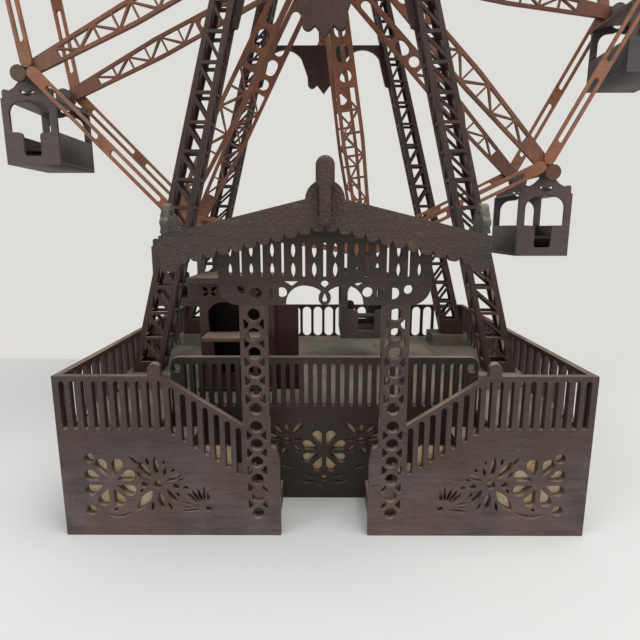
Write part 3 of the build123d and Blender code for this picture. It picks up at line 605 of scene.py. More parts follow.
scallops = []
scallop_count = int((gable_half - 20) / SCALLOP)
for i in range(scallop_count):
    left = (scallop_count - 1 - i) * SCALLOP
    middle = left + SCALLOP / 2
    low = gable_line(middle) - BARGE_HEIGHT + SCALLOP_DEPTH + 0.8
    for turn in range(7):
        angle = pi * turn / 6
        scallops.append((middle + SCALLOP * 0.46 * cos(angle), low - SCALLOP_DEPTH * sin(angle)))
LOBE = 7.6
LOBE_DROP = 16.5
NOTCH = 3.2
tail_x = scallop_count * SCALLOP
lobe_z = gable_line(gable_half) - LOBE_DROP
tail = (
    [(gable_half, lobe_z)]
    + arc(gable_half - LOBE, lobe_z, LOBE, 0, -125, 9)
    + arc(tail_x + NOTCH + 1, gable_line(tail_x) - 20.4, NOTCH, -70, -180, 5)
)
HUMP = 13.2
hump = arc(0, gable_top - 3.4, HUMP, 90, 3, 10)
barge_outline = hump + [(gable_half, gable_line(gable_half))] + tail + scallops
barge_outline.append((0, gable_line(0) - BARGE_HEIGHT + SCALLOP_DEPTH))
board_pair("bargeboard", "scalloped", [barge_outline], barge_low[1], "gable_walnut", gable_wood)

finial_low, finial_high = edges_of("ridge_finial")
nose = finial_low[1]
tail_y = finial_high[1]
finial_outline = (
    [(nose, finial_low[2] + 2), (nose + 2, finial_low[2]), (nose + 6, finial_low[2]), (nose + 6, gable_top)]
    + [(tail_y, gable_top), (tail_y, gable_top + 3), (tail_y - 4, gable_top + 5)]
    + arc(nose + 30, gable_top + 3, 5, 30, 170, 8)
    + [(nose + 20, gable_top + 6)]
    + arc(nose + 9, finial_high[2] - 9, 8, 0, 180, 14)
)
finial = sawn_board(
    "ridge_finial_board", [finial_outline], finial_low[0], 8, *gable_finish, "x", 1.6 * MM
)
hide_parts("ridge_finial")
HEAD = 6.2
HEAD_RISE = 3.5
head_loop = [(-HEAD, gable_top + 4), (HEAD, gable_top + 4)]
head_loop += arc(0, finial_high[2] + HEAD_RISE - HEAD, HEAD, 0, 180, 14)
head = sawn_board("ridge_finial_head", [head_loop], nose, 18, *gable_finish, "y", 3.6 * MM)
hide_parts("ridge_finial")

leaf_low, leaf_high = edges_of("eave_ornaments")
foot = leaf_low[2]
leaf_front = leaf_low[1]
ornament_outline = (
    [(leaf_front + 34, foot), (leaf_front + 30, foot + 4.5), (leaf_front + 23, foot + 5)]
    + arc(leaf_front + 19, foot + 10, 3.4, -60, 120, 7)
    + arc(leaf_front + 11.5, foot + 14, 6.0, 20, 170, 9)
    + [(leaf_front + 3, foot + 12)]
    + arc(leaf_front + 3.4, foot + 7, 3.2, 100, 250, 6)
    + [(leaf_front, foot)]
)
ornament_hole = ring(leaf_front + 11, foot + 12.5, 2.0, 12)
leaf_wood = stained_wood(
    "carved_leaf", linear(44, 43, 39), linear(116, 116, 106), Z_GRAIN, ledge_dust_and_light=0.5, gloss=0.5, pebble=2.6
)
leaf_finish = ("base", "gable_walnut", leaf_wood)
ornament_loops = [ornament_outline, ornament_hole]
for side, left in (("right", leaf_high[0] - WALL), ("left", leaf_low[0])):
    ornament = sawn_board("eave_leaf_" + side, ornament_loops, left, WALL, *leaf_finish, "x", 0.9 * MM)
    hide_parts("eave_ornaments")


# ---------------------------------------------------------------- inner panel, walls and deck
# Behind the stairs stands a slotted parapet pierced with flowers. The side and back walls carry
# wide fence slots above the deck, whose worn olive-grey paint shows through them.

inner_low, inner_high = edges_of("inner_panel")
stair_end = inner_high[0]
CORNER = 8.0
inner_outline = (
    [(-stair_end, 0), (stair_end, 0)]
    + arc(stair_end - CORNER, fence_top - CORNER, CORNER, 0, 90, 6)
    + arc(CORNER - stair_end, fence_top - CORNER, CORNER, 90, 180, 6)
)
INNER_PITCH = 8.05
INNER_SLOT = 4.0
inner_cuts = [slot(i * INNER_PITCH, deck_top + 2, fence_top - 6, INNER_SLOT) for i in range(-15, 16)]
inner_cuts += [ring(side * (stair_end - 6), fence_top - 10, 4) for side in (-1, 1)]
inner_cuts += [petal(0, 45.8, 22.5 + 45 * i, 5.5, 21, 9.2) for i in range(8)]
# A side flower's leaves: their two tips from its centre, outwards positive, and width.
side_leaves = [
    (0.3, 5.4, 0.8, 15.2, 4.4),
    (-4.0, 4.4, -13.5, 17.6, 4.4),
    (4.6, 4.2, 12.6, 14.4, 4.4),
    (-6.0, 0.4, -12.4, 1.0, 3.4),
    (-4.0, -4.4, -12.0, -12.6, 4.2),
    (6.2, 0.8, 19.6, 5.6, 4.8),
    (5.6, -3.2, 17.4, -9.4, 4.6),
    (0.8, -6.2, 5.4, -15.4, 4.0),
]
# The slits under it: their two tips and bend.
tendrils = [(5.4, 21.6, 20, 26, -0.12), (5.6, 17.4, 24, 19.6, -0.12), (26, 28, 39, 31, 0.14)]
FLOWER_OUT = 33.0
FLOWER_UP = 56.6
for side in (-1, 1):
    for a, b, c, d, width in side_leaves:
        near_x, far_x = side * (FLOWER_OUT + a), side * (FLOWER_OUT + c)
        inner_cuts.append(leaf(near_x, FLOWER_UP + b, far_x, FLOWER_UP + d, width))
    inner_cuts.append(oval_arc(side * FLOWER_OUT, FLOWER_UP, 3.4, 2.6, 0, 330, 11))
    for a, b, c, d, bend in tendrils:
        inner_cuts.append(leaf(side * a, b, side * c, d, 2.2, side * bend))
inner_cuts.append(ring(0, 19.6, 3.2, 14))
inner = sawn_board(
    "inner_parapet", [inner_outline] + inner_cuts, inner_low[1], WALL, "base", "base_walnut", inner_wood
)
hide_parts("inner_panel")

FENCE_PITCH = 16.3
FENCE_SLOT = 12.6


def fence_loops(half):
    """A wall's outline and the fence slots along its top."""
    loops = [oblong(-half, 0, half, fence_top)]
    count = int((2 * half - FENCE_PITCH) / FENCE_PITCH)
    for i in range(count):
        loops.append(slot((i - (count - 1) / 2) * FENCE_PITCH, deck_top, fence_top - 3, FENCE_SLOT))
    return loops


side_low, side_high = edges_of("side_wall_right")
side_loops = fence_loops(side_high[1])
for side, left in (("right", side_low[0]), ("left", -half_width)):
    node = "side_wall_" + side
    wall = sawn_board(node + "_fence", side_loops, left, WALL, "base", "base_walnut", wall_wood, "x")
    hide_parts(node)
back_front = edges_of("back_wall")[0][1]
back_loops = fence_loops(half_width)
back = sawn_board("back_wall_fence", back_loops, back_front, WALL, "base", "base_walnut", base_wood)
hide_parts("back_wall")


def painted_deck():
    """Olive-grey paint, rubbed through to the wood and stained."""
    finish = Finish("deck_paint")
    worn = finish.ramp(finish.noise((60.0, 22.0, 60.0), 6.0), 0.48, 0.72)
    clouds = finish.spots(16.0, 3.0, 0.3, 0.7, (1.3, 4.4, 0))
    specks = finish.ramp(finish.noise((700.0, 500.0, 700.0), 2.0), 0.64, 0.72)
    paint = finish.mixed(clouds, linear(104, 98, 88), linear(138, 132, 118))
    paint = finish.mixed(worn * 0.5, paint, linear(96, 78, 64))
    paint = finish.mixed(specks * 0.5, paint, linear(58, 50, 46))
    finish.link("Base Color", paint)
    finish.link("Roughness", 0.62 + 0.25 * clouds)
    finish.bump(0.2, 0.0004, clouds * 0.4 - specks)
    return finish.material


def repaint(material, *nodes):
    """Gives CAD nodes whose shape is right their finish."""
    for node in nodes:
        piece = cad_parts[node]
        piece.data.materials.clear()
        piece.data.materials.append(material)


deck_paint = painted_deck()
repaint(deck_paint, "deck_main", "deck_corners")
repaint(base_wood, "stairs_left", "stairs_right", "floor_bearer")
repaint(gable_wood, "roof_boards")


def speckled_board_painted_light():
    """The pale board behind the pierced flowers, with dark specks, its colour raised brighter than its own
    as painted light.
    """
    finish = Finish("pale_backing_painted_light")
    clouds = finish.spots(90.0, 4.0, 0.3, 0.7)
    specks = finish.spots(900.0, 2.0, 0.60, 0.68)
    # Painted light: both colours are raised to lift the shade that falls behind the front boards' cut-outs.
    colour = finish.mixed(clouds, linear(242, 208, 160), linear(255, 238, 204))
    colour = finish.mixed(specks * 0.7, colour, linear(140, 90, 54))
    finish.link("Base Color", colour)
    finish.link("Roughness", 0.7 + 0.2 * clouds)
    finish.bump(0.15, 0.0003, clouds - specks)
    return finish.material


repaint(speckled_board_painted_light(), "floral_backing")


# ---------------------------------------------------------------- ticket kiosk
# A small red-brown booth on the deck, with an arched window over a projecting counter, an open
# front below it and a pierced frieze under the roof.

kiosk_wood = stained_wood("kiosk_stain", linear(46, 28, 27), linear(80, 53, 45), Z_GRAIN)
counter_wood = stained_wood("counter_stain", linear(74, 57, 50), linear(108, 90, 78), X_GRAIN)
kiosk_finish = ("base", "kiosk_wood", kiosk_wood)
counter_finish = ("base", "kiosk_wood", counter_wood)
screen_wood = stained_wood("screen_stain", linear(38, 12, 12), linear(64, 24, 22), Z_GRAIN, ledge_dust_and_light=0.2)
kiosk_low, kiosk_high = edges_of("kiosk_front")
kiosk_left, kiosk_right = kiosk_low[0], kiosk_high[0]
kiosk_middle = (kiosk_left + kiosk_right) / 2
counter_low, counter_high = edges_of("kiosk_counter")
KIOSK_BOARD = 4.0
WINDOW_HALF = 27.5
LOWER_HALF = 23.0
LOWER_DROP = 41.0
WINDOW_TOP = 175.0
COUNTER_TOP = 145.7
COUNTER_DEPTH = 24.5
COUNTER_THICK = 4.0
WINDOW_ARC = 14.0
window_half = [(WINDOW_HALF, COUNTER_TOP), (WINDOW_HALF, WINDOW_TOP - 8)]
window_half += arc(WINDOW_ARC, WINDOW_TOP - WINDOW_ARC, WINDOW_ARC, 30, 90, 6)
window_loop = window_half + mirrored([window_half])[0][::-1]
window_loop = [(kiosk_middle + x, z) for x, z in window_loop]
lower_loop = oblong(
    kiosk_middle - LOWER_HALF,
    COUNTER_TOP - LOWER_DROP,
    kiosk_middle + LOWER_HALF,
    COUNTER_TOP - COUNTER_THICK,
)
kiosk_outline = oblong(kiosk_left, kiosk_low[2], kiosk_right, kiosk_high[2])
kiosk_loops = [kiosk_outline, window_loop, lower_loop]
FRIEZE_Z = (WINDOW_TOP + kiosk_high[2]) / 2 + 1
for i in range(4):
    x = kiosk_middle + (i - 1.5) * 17
    for side in (-1, 1):
        kiosk_loops.append(leaf(x + side * 7, FRIEZE_Z + 4.5, x + side * 1.4, FRIEZE_Z + 0.6, 3.4))
        kiosk_loops.append(leaf(x + side * 6, FRIEZE_Z - 4.5, x + side * 1.4, FRIEZE_Z - 0.6, 3.0))
kiosk_board = sawn_board("kiosk_pierced_front", kiosk_loops, kiosk_low[1], KIOSK_BOARD, *kiosk_finish)
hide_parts("kiosk_front")
# Painted shade: the booth's inside walls and floor get a darker copy of the kiosk stain, standing for the
# shade inside it.
inside_painted_shade_wood = stained_wood("kiosk_inside_painted_shade", linear(30, 19, 18), linear(50, 32, 29), Z_GRAIN, ledge_dust_and_light=0.2)
repaint(inside_painted_shade_wood, "kiosk_walls", "kiosk_floor")
counter_back = counter_high[1]
counter_loop = oblong(counter_low[0], counter_back - COUNTER_DEPTH, counter_high[0], counter_back)
counter_foot = COUNTER_TOP - COUNTER_THICK
counter = sawn_board(
    "kiosk_counter_board", [counter_loop], counter_foot, COUNTER_THICK, *counter_finish, "z"
)
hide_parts("kiosk_counter")
repaint(gable_wood, "kiosk_roof")
repaint(screen_wood, "kiosk_screen")


# ---------------------------------------------------------------- lattice towers
# Each leg is a box of four fretted boards. The stiles are sawn frames, and the rungs and slanting
# bars between them repeat up the leg, drawn in by its taper and its lean. The slanting bars fall
# to the right on the front legs and rise to the right on the rear ones.

tower_wood = stained_wood("tower_stain", linear(44, 31, 29), linear(78, 58, 53), Z_GRAIN, ledge_dust_and_light=0.85)
tower_finish = ("base", "tower_wood", tower_wood)
repaint(deck_paint, "tower_plinths")
leg_box = edges_of("leg_front_right")
leg_foot, leg_top = leg_box[0][2], leg_box[1][2]
OUTER_LEAN = 0.27
INNER_LEAN = 0.25
LEG_WIDTH_AT_DECK = 29.0
outer_at_foot = leg_box[1][0]
inner_at_foot = outer_at_foot - LEG_WIDTH_AT_DECK + (leg_foot - deck_top) * (OUTER_LEAN - INNER_LEAN)
FIRST_RUNGS = {"front": leg_foot + 9.4, "rear": deck_top + 33.9}
BAY = 25.6
STILE = 5.0
BAR = 2.9
LEG_BOARD = 3.0
BAR_BOARD = LEG_BOARD - 0.3


def leg_inner(z):
    return inner_at_foot - (z - leg_foot) * INNER_LEAN


def leg_outer(z):
    return outer_at_foot - (z - leg_foot) * OUTER_LEAN


def leg_face(side, inset, low, high):
    """A leg's outline between two heights, or the hole that its stiles leave."""
    inner = [(side * (leg_inner(z) + inset), z) for z in (low, high)]
    outer = [(side * (leg_outer(z) - inset), z) for z in (low, high)]
    return [inner[0], outer[0], outer[1], inner[1]]


def bar(work, start, end, across, through):
    """A straight bar between two points, with half its width and half its thickness as vectors."""
    corners = []
    for point in (start, end):
        for a, t in ((-1, -1), (1, -1), (1, 1), (-1, 1)):
            corners.append(work.verts.new(Vector(point) + Vector(across) * a + Vector(through) * t))
    for face in ((0, 1, 2, 3), (7, 6, 5, 4), (0, 4, 5, 1), (1, 5, 6, 2), (2, 6, 7, 3), (3, 7, 4, 0)):
        work.faces.new([corners[i] for i in face])


def one_bay(near_y, far_y, rising):
    """The bars of one bay, one unit wide and one bay high, from the front board to the rear."""
    work = bmesh.new()
    half_bar = BAR / 2 * MM
    unit_bar = BAR / 2 / LEG_WIDTH_AT_DECK
    inset = STILE * 0.6 / LEG_WIDTH_AT_DECK
    half_board = LEG_BOARD / 2 * MM
    high = BAY * MM
    left_end, right_end = (half_bar, high - half_bar) if rising else (high - half_bar, half_bar)
    for middle in (near_y * MM + half_board, far_y * MM - half_board):
        through = (0, BAR_BOARD / 2 * MM, 0)
        bar(work, (inset, middle, 0), (1 - inset, middle, 0), (0, 0, half_bar), through)
        lean = -1 if rising else 1
        slant = ((lean * unit_bar * 0.8, 0, half_bar * 0.6), through)
        bar(work, (inset, middle, left_end), (1 - inset, middle, right_end), *slant)
    unit_board = LEG_BOARD / 2 / LEG_WIDTH_AT_DECK
    near = (near_y + LEG_BOARD) * MM
    far = (far_y - LEG_BOARD) * MM
    for middle in (unit_board, 1 - unit_board):
        through = (BAR_BOARD / 2 / LEG_WIDTH_AT_DECK, 0, 0)
        bar(work, (middle, near, 0), (middle, far, 0), (0, 0, half_bar), through)
        slant = ((0, half_bar * 0.8, half_bar * 0.6), through)
        bar(work, (middle, near, high - half_bar), (middle, far, half_bar), *slant)
    mesh = bpy.data.meshes.new("leg_bay")
    work.to_mesh(mesh)
    work.free()
    return mesh


class Plan:
    """A Geometry Nodes tree with named inputs, made node by node."""

    def __init__(self, name, inputs):
        self.tree = bpy.data.node_groups.new(name, "GeometryNodeTree")
        face = self.tree.interface
        face.new_socket("Geometry", in_out="INPUT", socket_type="NodeSocketGeometry")
        for label, kind in inputs.items():
            face.new_socket(label, in_out="INPUT", socket_type=kind)
        face.new_socket("Geometry", in_out="OUTPUT", socket_type="NodeSocketGeometry")
        self.given = self.tree.nodes.new("NodeGroupInput")
        self.result = self.tree.nodes.new("NodeGroupOutput")

    def taken(self, label):
        return self.given.outputs[label]

    def node(self, kind, settings, sockets, output=0):
        made = self.tree.nodes.new(kind)
        for key, value in settings.items():
            setattr(made, key, value)
        for key, value in sockets.items():
            if isinstance(value, bpy.types.NodeSocket):
                self.tree.links.new(value, made.inputs[key])
            else:
                made.inputs[key].default_value = value
        return made.outputs[output]

    def maths(self, operation, first, second):
        return self.node("ShaderNodeMath", {"operation": operation}, {0: first, 1: second})

    def finish(self, geometry):
        """Ends the tree with real geometry and its material."""
        real = self.node("GeometryNodeRealizeInstances", {}, {0: geometry})
        self.end(real)

    def end(self, geometry):
        shown = self.node(
            "GeometryNodeSetMaterial", {}, {"Geometry": geometry, "Material": self.taken("Material")}
        )
        self.tree.links.new(shown, self.result.inputs[0])


def grown(name, mesh, plan, values):
    """The plain mesh that a tree makes of a pattern mesh."""
    holder = bpy.data.objects.new(name + "_pattern", mesh)
    scene.collection.objects.link(holder)
    modifier = holder.modifiers.new("plan", "NODES")
    modifier.node_group = plan.tree
    for item in plan.tree.interface.items_tree:
        if item.in_out == "INPUT" and item.name in values:
            modifier[item.identifier] = values[item.name]
    graph = bpy.context.evaluated_depsgraph_get()
    result = bpy.data.meshes.new_from_object(holder.evaluated_get(graph))
    holder.modifiers.remove(modifier)
    bpy.data.objects.remove(holder)
    return result


def lattice_plan():
    """Stacks one bay up a leg, then draws it between the leg's two leaning edges."""
    number = "NodeSocketFloat"
    edges = {"Left Foot": number, "Left Lean": number, "Right Foot": number, "Right Lean": number}
    sizes = {"Bays": "NodeSocketInt", "Bay Height": number, "First Rung": number, "Foot Height": number}
    plan = Plan("leg_lattice", {**sizes, **edges, "Material": "NodeSocketMaterial"})
    start = plan.node("ShaderNodeCombineXYZ", {}, {2: plan.taken("First Rung")})
    step = plan.node("ShaderNodeCombineXYZ", {}, {2: plan.taken("Bay Height")})
    sockets = {"Count": plan.taken("Bays"), "Start Location": start, "Offset": step}
    line = plan.node("GeometryNodeMeshLine", {}, sockets)
    sockets = {"Points": line, "Instance": plan.taken("Geometry")}
    stack = plan.node("GeometryNodeInstanceOnPoints", {}, sockets)
    real = plan.node("GeometryNodeRealizeInstances", {}, {0: stack})
    place = plan.node("GeometryNodeInputPosition", {}, {})
    parts = plan.node("ShaderNodeSeparateXYZ", {}, {0: place})
    x, y, z = parts.node.outputs
    rise = plan.maths("SUBTRACT", z, plan.taken("Foot Height"))
    left = plan.maths("MULTIPLY", rise, plan.taken("Left Lean"))
    left = plan.maths("ADD", left, plan.taken("Left Foot"))
    right = plan.maths("MULTIPLY", rise, plan.taken("Right Lean"))
    right = plan.maths("ADD", right, plan.taken("Right Foot"))
    width = plan.maths("SUBTRACT", right, left)
    drawn = plan.maths("ADD", left, plan.maths("MULTIPLY", x, width))
    moved = plan.node("ShaderNodeCombineXYZ", {}, {0: drawn, 1: y, 2: z})
    plan.end(plan.node("GeometryNodeSetPosition", {}, {"Geometry": real, "Position": moved}))
    return plan


lattice = lattice_plan()
for tower in ("front", "rear"):
    for side_name, side in (("right", 1), ("left", -1)):
        node = f"leg_{tower}_{side_name}"
        low, high = edges_of(node)
        near_y, far_y = low[1], high[1]
        first_rung = FIRST_RUNGS[tower]
        face = leg_face(side, 0, leg_foot, leg_top)
        hole = leg_face(side, STILE, first_rung, leg_top - BAR)
        for board_y, where in ((near_y, "near"), (far_y - LEG_BOARD, "far")):
            name = f"{node}_stiles_{where}"
            stile_board = sawn_board(name, [face, hole], board_y, LEG_BOARD, *tower_finish)
            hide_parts(node)
        near = near_y + LEG_BOARD
        far = far_y - LEG_BOARD
        flank_hole = oblong(near + BAR, first_rung, far - BAR, leg_top - BAR)
        flank = oblong(near, leg_foot, far, leg_top)
        for edge, inward, where in ((leg_inner, 1, "inner"), (leg_outer, -1, "outer")):
            name = f"{node}_flank_{where}"
            flank_board = sawn_board(name, [flank, flank_hole], 0, LEG_BOARD, *tower_finish, "x")
            for vertex in flank_board.data.vertices:
                x, y, z = vertex.co
                depth = x if inward > 0 else LEG_BOARD * MM - x
                x = side * (edge(z / MM) * MM + inward * depth)
                vertex.co = (x, y, z)
            if side < 0:
                flank_board.data.flip_normals()
            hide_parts(node)
        edges = [(side * inner_at_foot, -side * INNER_LEAN), (side * outer_at_foot, -side * OUTER_LEAN)]
        (left_x, left_lean), (right_x, right_lean) = sorted(edges)
        values = {
            "Bays": int((leg_top - first_rung) / BAY + 0.02),
            "Bay Height": BAY * MM,
            "First Rung": first_rung * MM,
            "Foot Height": leg_foot * MM,
            "Left Foot": left_x * MM,
            "Left Lean": left_lean,
            "Right Foot": right_x * MM,
            "Right Lean": right_lean,
            "Material": tower_wood,
        }
        bars = grown(node + "_bars", one_bay(near_y, far_y, tower == "rear"), lattice, values)
        piece = finished(node + "_bars", bars, *tower_finish)
        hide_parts(node)


# ---------------------------------------------------------------- tower crossbeams
# Under the axle each tower has an arched board with a pointed pendant and two round lobes,
# and above it the thick beam that holds the bush. The photograph shows the rear pendant's tip
# higher than the solid's, so both boards are set that much higher between the legs.

ARCH_LIFT = 40.6
arch_low, arch_high = edges_of("arch_beam_front")
spring = arch_low[2] + 7 + ARCH_LIFT
crown = arch_high[2] - 12 + ARCH_LIFT
arch_top = arch_high[2] + ARCH_LIFT
reach = leg_inner(spring)
arch_half = (
    [(leg_inner(arch_top), arch_top), (reach, spring), (reach - 6, spring + 2)]
    + [(reach - 10, spring + 16)]
    + arc(reach * 0.58, crown - 18, reach * 0.3, 35, 145, 14)
    + [(reach * 0.245, spring + 14)]
    + arc(reach * 0.175, spring + 5, 5.4, 0, -150, 9)
    + [(8.2, spring + 3.4)]
)
arch_loop = arch_half + [(0, arch_low[2] + ARCH_LIFT)] + mirrored([arch_half])[0][::-1]
for tower in ("front", "rear"):
    node = "arch_beam_" + tower
    low, high = edges_of(node)
    arch = sawn_board(node + "_arch", [arch_loop], low[1], WALL, *tower_finish)
    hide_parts(node)
repaint(tower_wood, "bearing_beam_front", "bearing_beam_rear")


def metal(name, colour, roughness):
    """Drawn or turned metal, slightly tarnished."""
    finish = Finish(name)
    clouds = finish.spots(120.0, 4.0, 0.3, 0.7)
    dull = tuple(c * 0.55 for c in colour[:3]) + (1,)
    finish.link("Base Color", finish.mixed(clouds, dull, colour))
    finish.link("Roughness", roughness + 0.2 * clouds)
    finish.shader.inputs["Metallic"].default_value = 1.0
    return finish.material


repaint(metal("brass_tube", linear(190, 150, 90), 0.35), "bearing_bushes")
repaint(metal("steel_wire", linear(150, 146, 140), 0.32), "axle", "pivot_rods", "crank_pin")


# ---------------------------------------------------------------- spokes, struts and discs
# One spoke, one strut and one disc are the patterns of each rim. The copies are turned round
# the hub. The struts lie over the spokes' ends, and a turned disc covers each pivot.

wheel_wood = stained_wood(
    "wheel_stain", linear(104, 66, 48), linear(164, 114, 82), X_GRAIN, 0.3, 0.4, dust_and_toplight=linear(190, 150, 118)
)
spoke_wood = stained_wood(
    "spoke_stain", linear(84, 55, 44), linear(138, 94, 70), Z_GRAIN, 0.3, 0.4, dust_and_toplight=linear(184, 146, 114)
)
disc_wood = stained_wood(
    "disc_stain", linear(60, 41, 35), linear(106, 76, 60), X_GRAIN, 0.3, 0.45, dust_and_toplight=linear(150, 120, 98)
)
SPOKES = 10
FIRST_TURN = -82.0
PIVOT_RADIUS = 343.0
hub_low, hub_high = edges_of("hub_front")
hub_z = (hub_low[2] + hub_high[2]) / 2
HUB_CORE = 38.0
LAYER = 4.0
BELLY_X = 0.63 * PIVOT_RADIUS


def spoke_half(x):
    if x < BELLY_X:
        return 10 + 2 * (x - HUB_CORE) / (BELLY_X - HUB_CORE)
    return 12 - 5.5 * (x - BELLY_X) / (PIVOT_RADIUS - BELLY_X)


def round_plan():
    """Copies a pattern round the hub."""
    number = "NodeSocketFloat"
    inputs = {"Count": "NodeSocketInt", "First Turn": number, "Hub Height": number}
    plan = Plan("round_the_hub", {**inputs, "Material": "NodeSocketMaterial"})
    line = plan.node("GeometryNodeMeshLine", {}, {"Count": plan.taken("Count"), "Offset": (0, 0, 0)})
    index = plan.node("GeometryNodeInputIndex", {}, {})
    step = plan.maths("DIVIDE", 2 * pi, plan.taken("Count"))
    turn = plan.maths("ADD", plan.maths("MULTIPLY", index, step), plan.taken("First Turn"))
    turn = plan.maths("MULTIPLY", turn, -1.0)
    rotation = plan.node("ShaderNodeCombineXYZ", {}, {1: turn})
    lift = plan.node("ShaderNodeCombineXYZ", {}, {2: plan.taken("Hub Height")})
    sockets = {"Points": line, "Instance": plan.taken("Geometry"), "Rotation": rotation}
    copies = plan.node("GeometryNodeInstanceOnPoints", {}, sockets)
    lifted = plan.node("GeometryNodeTransform", {}, {"Geometry": copies, "Translation": lift})
    plan.finish(lifted)
    return plan


rim_plan = round_plan()


def pattern(name, loops, front, thick, material):
    """A flat pattern mesh along +X, from which a rim's copies are made."""
    piece = sawn_board(name, loops, front, thick, "wheel", "wheel_wood", material)
    mesh = piece.data.copy()
    bpy.data.objects.remove(piece)
    return mesh


def round_the_hub(name, loops, front, first_deg, material, *nodes):
    values = {
        "Count": SPOKES,
        "First Turn": radians(first_deg),
        "Hub Height": hub_z * MM,
        "Material": material,
    }
    mesh = grown(name, pattern(name + "_one", loops, front, LAYER, material), rim_plan, values)
    piece = finished(name, mesh, "wheel", "wheel_wood", material)
    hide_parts(*nodes)


TIP = 6.5
spoke_edge = [(HUB_CORE, spoke_half(HUB_CORE)), (BELLY_X, spoke_half(BELLY_X))]
spoke_outline = (
    [(x, -z) for x, z in spoke_edge]
    + arc(PIVOT_RADIUS - 1.2, 0, TIP, -80, 80, 12)
    + spoke_edge[::-1]
)
RAIL = 3.6


def bay_cut(start, end, flip):
    """One three-cornered cut of the spoke's zigzag."""
    wide = spoke_half(start) - RAIL
    narrow = spoke_half(end) - RAIL
    return [(start, flip * wide), (end, flip * narrow), (start, -flip * wide + flip * 1.2)]


def oval(start, end, width):
    half = width / 2
    return arc(end - half, 0, half, -90, 90, 8) + arc(start + half, 0, half, 90, 270, 8)


spoke_cuts = [oval(64, 118, 11), oval(123, 142, 13), oval(147, 160, 13)]
ZIG = 22.5
ZIG_START = 165.0
ZIG_BAYS = 6
for i in range(ZIG_BAYS):
    start = ZIG_START + i * ZIG
    if i % 2 == 0:
        spoke_cuts.append(bay_cut(start, start + ZIG - 3, 1))
        spoke_cuts.append(bay_cut(start + ZIG - 2, start + 2.6, -1))
    else:
        spoke_cuts.append(bay_cut(start, start + ZIG - 3, -1))
        spoke_cuts.append(bay_cut(start + ZIG - 2, start + 2.6, 1))

half_turn = radians(180 / SPOKES)
STRUT_INSET = 11.0
strut_line = (PIVOT_RADIUS - STRUT_INSET) * cos(half_turn)
strut_reach = (PIVOT_RADIUS - STRUT_INSET) * sin(half_turn) - 0.5
STRUT_HALF = 6.0
strut_outline = (
    arc(strut_line, strut_reach - STRUT_HALF, STRUT_HALF, 0, 180, 12)
    + arc(strut_line, STRUT_HALF - strut_reach, STRUT_HALF, 180, 360, 12)
)
strut_cuts = [
    slot(strut_line, 9, strut_reach - 24, 5.4),
    slot(strut_line, 24 - strut_reach, -9, 5.4),
]
for rim in ("front", "rear"):
    spokes_y = edges_of("spokes_" + rim)[0][1]
    struts_y = edges_of("rim_struts_" + rim)[0][1]
    spoke_loops = [spoke_outline] + spoke_cuts
    round_the_hub(
        f"spokes_{rim}_fretted", spoke_loops, spokes_y, FIRST_TURN, spoke_wood, "spokes_" + rim
    )
    round_the_hub(
        f"rim_struts_{rim}_slotted",
        [strut_outline] + strut_cuts,
        struts_y,
        FIRST_TURN + 180 / SPOKES,
        wheel_wood,
        "rim_struts_" + rim,
    )
    round_the_hub(
        f"pivot_discs_{rim}_turned",
        [ring(PIVOT_RADIUS, 0, 8.1, 28)],
        struts_y,
        FIRST_TURN,
        disc_wood,
        "pivot_discs",
    )
repaint(spoke_wood, "hub_front", "hub_rear")


# ---------------------------------------------------------------- gondolas
# Ten cabins hang on the rods. Each has two fretted ends with a gate cut, an arched window, ears
# and a crescent, low parapets, a floor, a bench and two sloping roof boards.

gondola_wood = stained_wood("gondola_stain", linear(56, 50, 51), linear(94, 87, 90), X_GRAIN, ledge_dust_and_light=0.3)
bench_wood = stained_wood("bench_stain", linear(84, 76, 72), linear(128, 118, 108), X_GRAIN, ledge_dust_and_light=0.5)
CABIN_HALF = 28.5
DROP = 87.0
RAIL_HEIGHT = 33.0
PARAPET = RAIL_HEIGHT - DROP
THIN = 3.0
BENCH_TOP = 21.0
BENCH_DEPTH = (31.0, 49.0)
end_half = (
    [(CABIN_HALF, -DROP), (CABIN_HALF, -20.5), (CABIN_HALF - 2, -20.5), (CABIN_HALF - 2, -18)]
    + arc(CABIN_HALF - 5, -15.0, 3.0, 0, 120, 6)
    + [(CABIN_HALF - 10, -13.0), (13.5, -10.4), (10.8, -7.6)]
    + arc(0, 0, 8.95, -30, 90, 12)
)
end_outline = end_half + mirrored([end_half[:-1]])[0][::-1]
WINDOW_X = CABIN_HALF - 7.5
GATE_HALF = 9.0
window_half = (
    arc(0, PARAPET - 24 + GATE_HALF * 0.45, GATE_HALF, -26, 0, 3)
    + [(GATE_HALF, PARAPET - 5)]
    + arc(GATE_HALF + 4, PARAPET - 4.4, 4, 180, 95, 5)
    + [(WINDOW_X, PARAPET), (WINDOW_X, -34)]
    + arc(WINDOW_X - 12, -36, 12, 10, 78, 7)
    + [(3.2, -23.4), (0.8, -22.2)]
)
gate_floor = [(0, PARAPET - 24)]
window_outline = gate_floor + window_half + mirrored([window_half])[0][::-1]
crescent = arc(0, -10.5, 8.2, 212, 328, 9) + arc(0, -6.6, 8.4, 318, 222, 9)
hanger = ring(0, 0, 1.56, 16)


def roof_slope(side):
    """One thin board of a cabin's roof, seen from its end and measured from the floor."""
    ridge, eave = DROP - 14, DROP - 20
    return [(side, ridge), (side * CABIN_HALF, eave), (side * CABIN_HALF, eave - 1.5), (side, ridge - 1.5)]


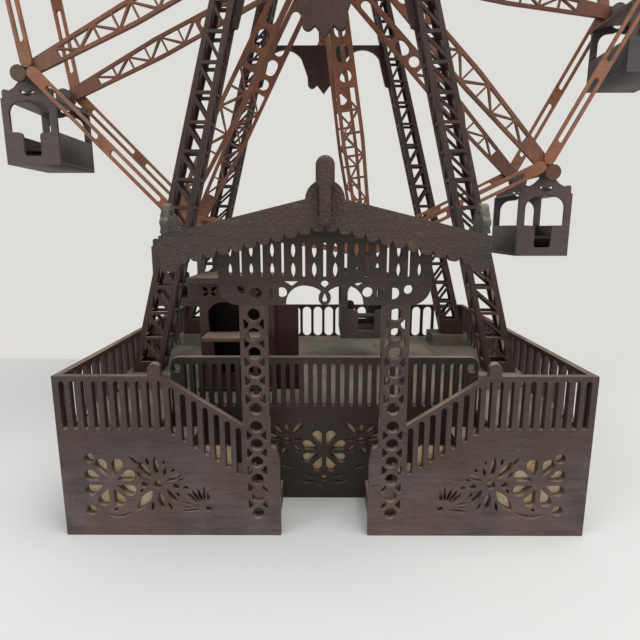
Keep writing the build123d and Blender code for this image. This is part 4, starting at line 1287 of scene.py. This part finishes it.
for number in range(1, SPOKES + 1):
    turn = radians(FIRST_TURN + (number - 1) * 360 / SPOKES)
    pivot_x = PIVOT_RADIUS * cos(turn)
    pivot_z = hub_z + PIVOT_RADIUS * sin(turn)
    node = f"gondola_{number}"
    body = f"cabin_{number}"
    low, high = edges_of(node)
    loops = []
    for loop in (end_outline, window_outline, crescent, hanger):
        loops.append([(pivot_x + x, pivot_z + z) for x, z in loop])
    for where, end_y in (("near", low[1]), ("far", high[1] - THIN)):
        end_board = sawn_board(
            f"{node}_end_{where}", loops, end_y, THIN, body, "gondola_wood", gondola_wood
        )
        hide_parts(node)
    inside = (low[1] + THIN, high[1] - THIN)
    post_x = CABIN_HALF - THIN
    boards = [
        ("floor", oblong(-CABIN_HALF, 0, CABIN_HALF, THIN), inside, gondola_wood),
        ("parapet_left", oblong(-CABIN_HALF, THIN, -post_x, RAIL_HEIGHT), inside, gondola_wood),
        ("parapet_right", oblong(post_x, THIN, CABIN_HALF, RAIL_HEIGHT), inside, gondola_wood),
        ("bench", oblong(-post_x, BENCH_TOP - THIN, post_x, BENCH_TOP), BENCH_DEPTH, bench_wood),
        ("roof_left", roof_slope(-1), inside, bench_wood),
        ("roof_right", roof_slope(1), inside, bench_wood),
    ]
    for label, loop, (near_y, far_y), wood in boards:
        outline = [(pivot_x + x, pivot_z - DROP + z) for x, z in loop]
        board = sawn_board(
            f"{node}_{label}", [outline], near_y, far_y - near_y, body, "gondola_wood", wood
        )
        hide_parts(node)


# ---------------------------------------------------------------- crank
# Behind the rear tower an arm is fixed on the axle, and a turned knob spins on its pin.

CRANK_THROW = 62.0
arm_front = edges_of("crank_arm")[0][1]
crank_z = hub_z - CRANK_THROW
arm_outline = arc(0, hub_z, 8, 0, 180, 14) + arc(0, crank_z, 6.4, 180, 360, 14)
arm_hole = ring(0, hub_z, 4.0, 20)
arm = sawn_board(
    "crank_arm_board", [arm_outline, arm_hole], arm_front, WALL, "wheel", "wheel_wood", wheel_wood
)
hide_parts("crank_arm")

knob_low, knob_high = edges_of("crank_knob")
KNOB_BORE = 2.56
knob_length = knob_high[1] - knob_low[1]
knob_profile = [(0, KNOB_BORE), (0, 4.6), (0.04, 5.4), (0.16, 5.6), (0.24, 6.4), (0.42, 8.0)]
knob_profile += [(0.62, 8.95), (0.8, 8.6), (0.93, 6.8), (0.985, 4.8), (1, 4.0), (1, KNOB_BORE)]
ROUND = 32
work = bmesh.new()
rows = []
for share, radius in knob_profile:
    y = (knob_low[1] + share * knob_length) * MM
    row = []
    for i in range(ROUND):
        turn = 2 * pi * i / ROUND
        row.append(work.verts.new((radius * cos(turn) * MM, y, (crank_z + radius * sin(turn)) * MM)))
    rows.append(row)
rows.append(rows[0])
for row, following in zip(rows[:-1], rows[1:]):
    for i in range(ROUND):
        j = (i + 1) % ROUND
        work.faces.new((row[i], row[j], following[j], following[i]))
knob_mesh = bpy.data.meshes.new("crank_knob_turned")
work.to_mesh(knob_mesh)
work.free()
knob = finished("crank_knob_turned", knob_mesh, "knob", "wheel_wood", wheel_wood)
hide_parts("crank_knob")
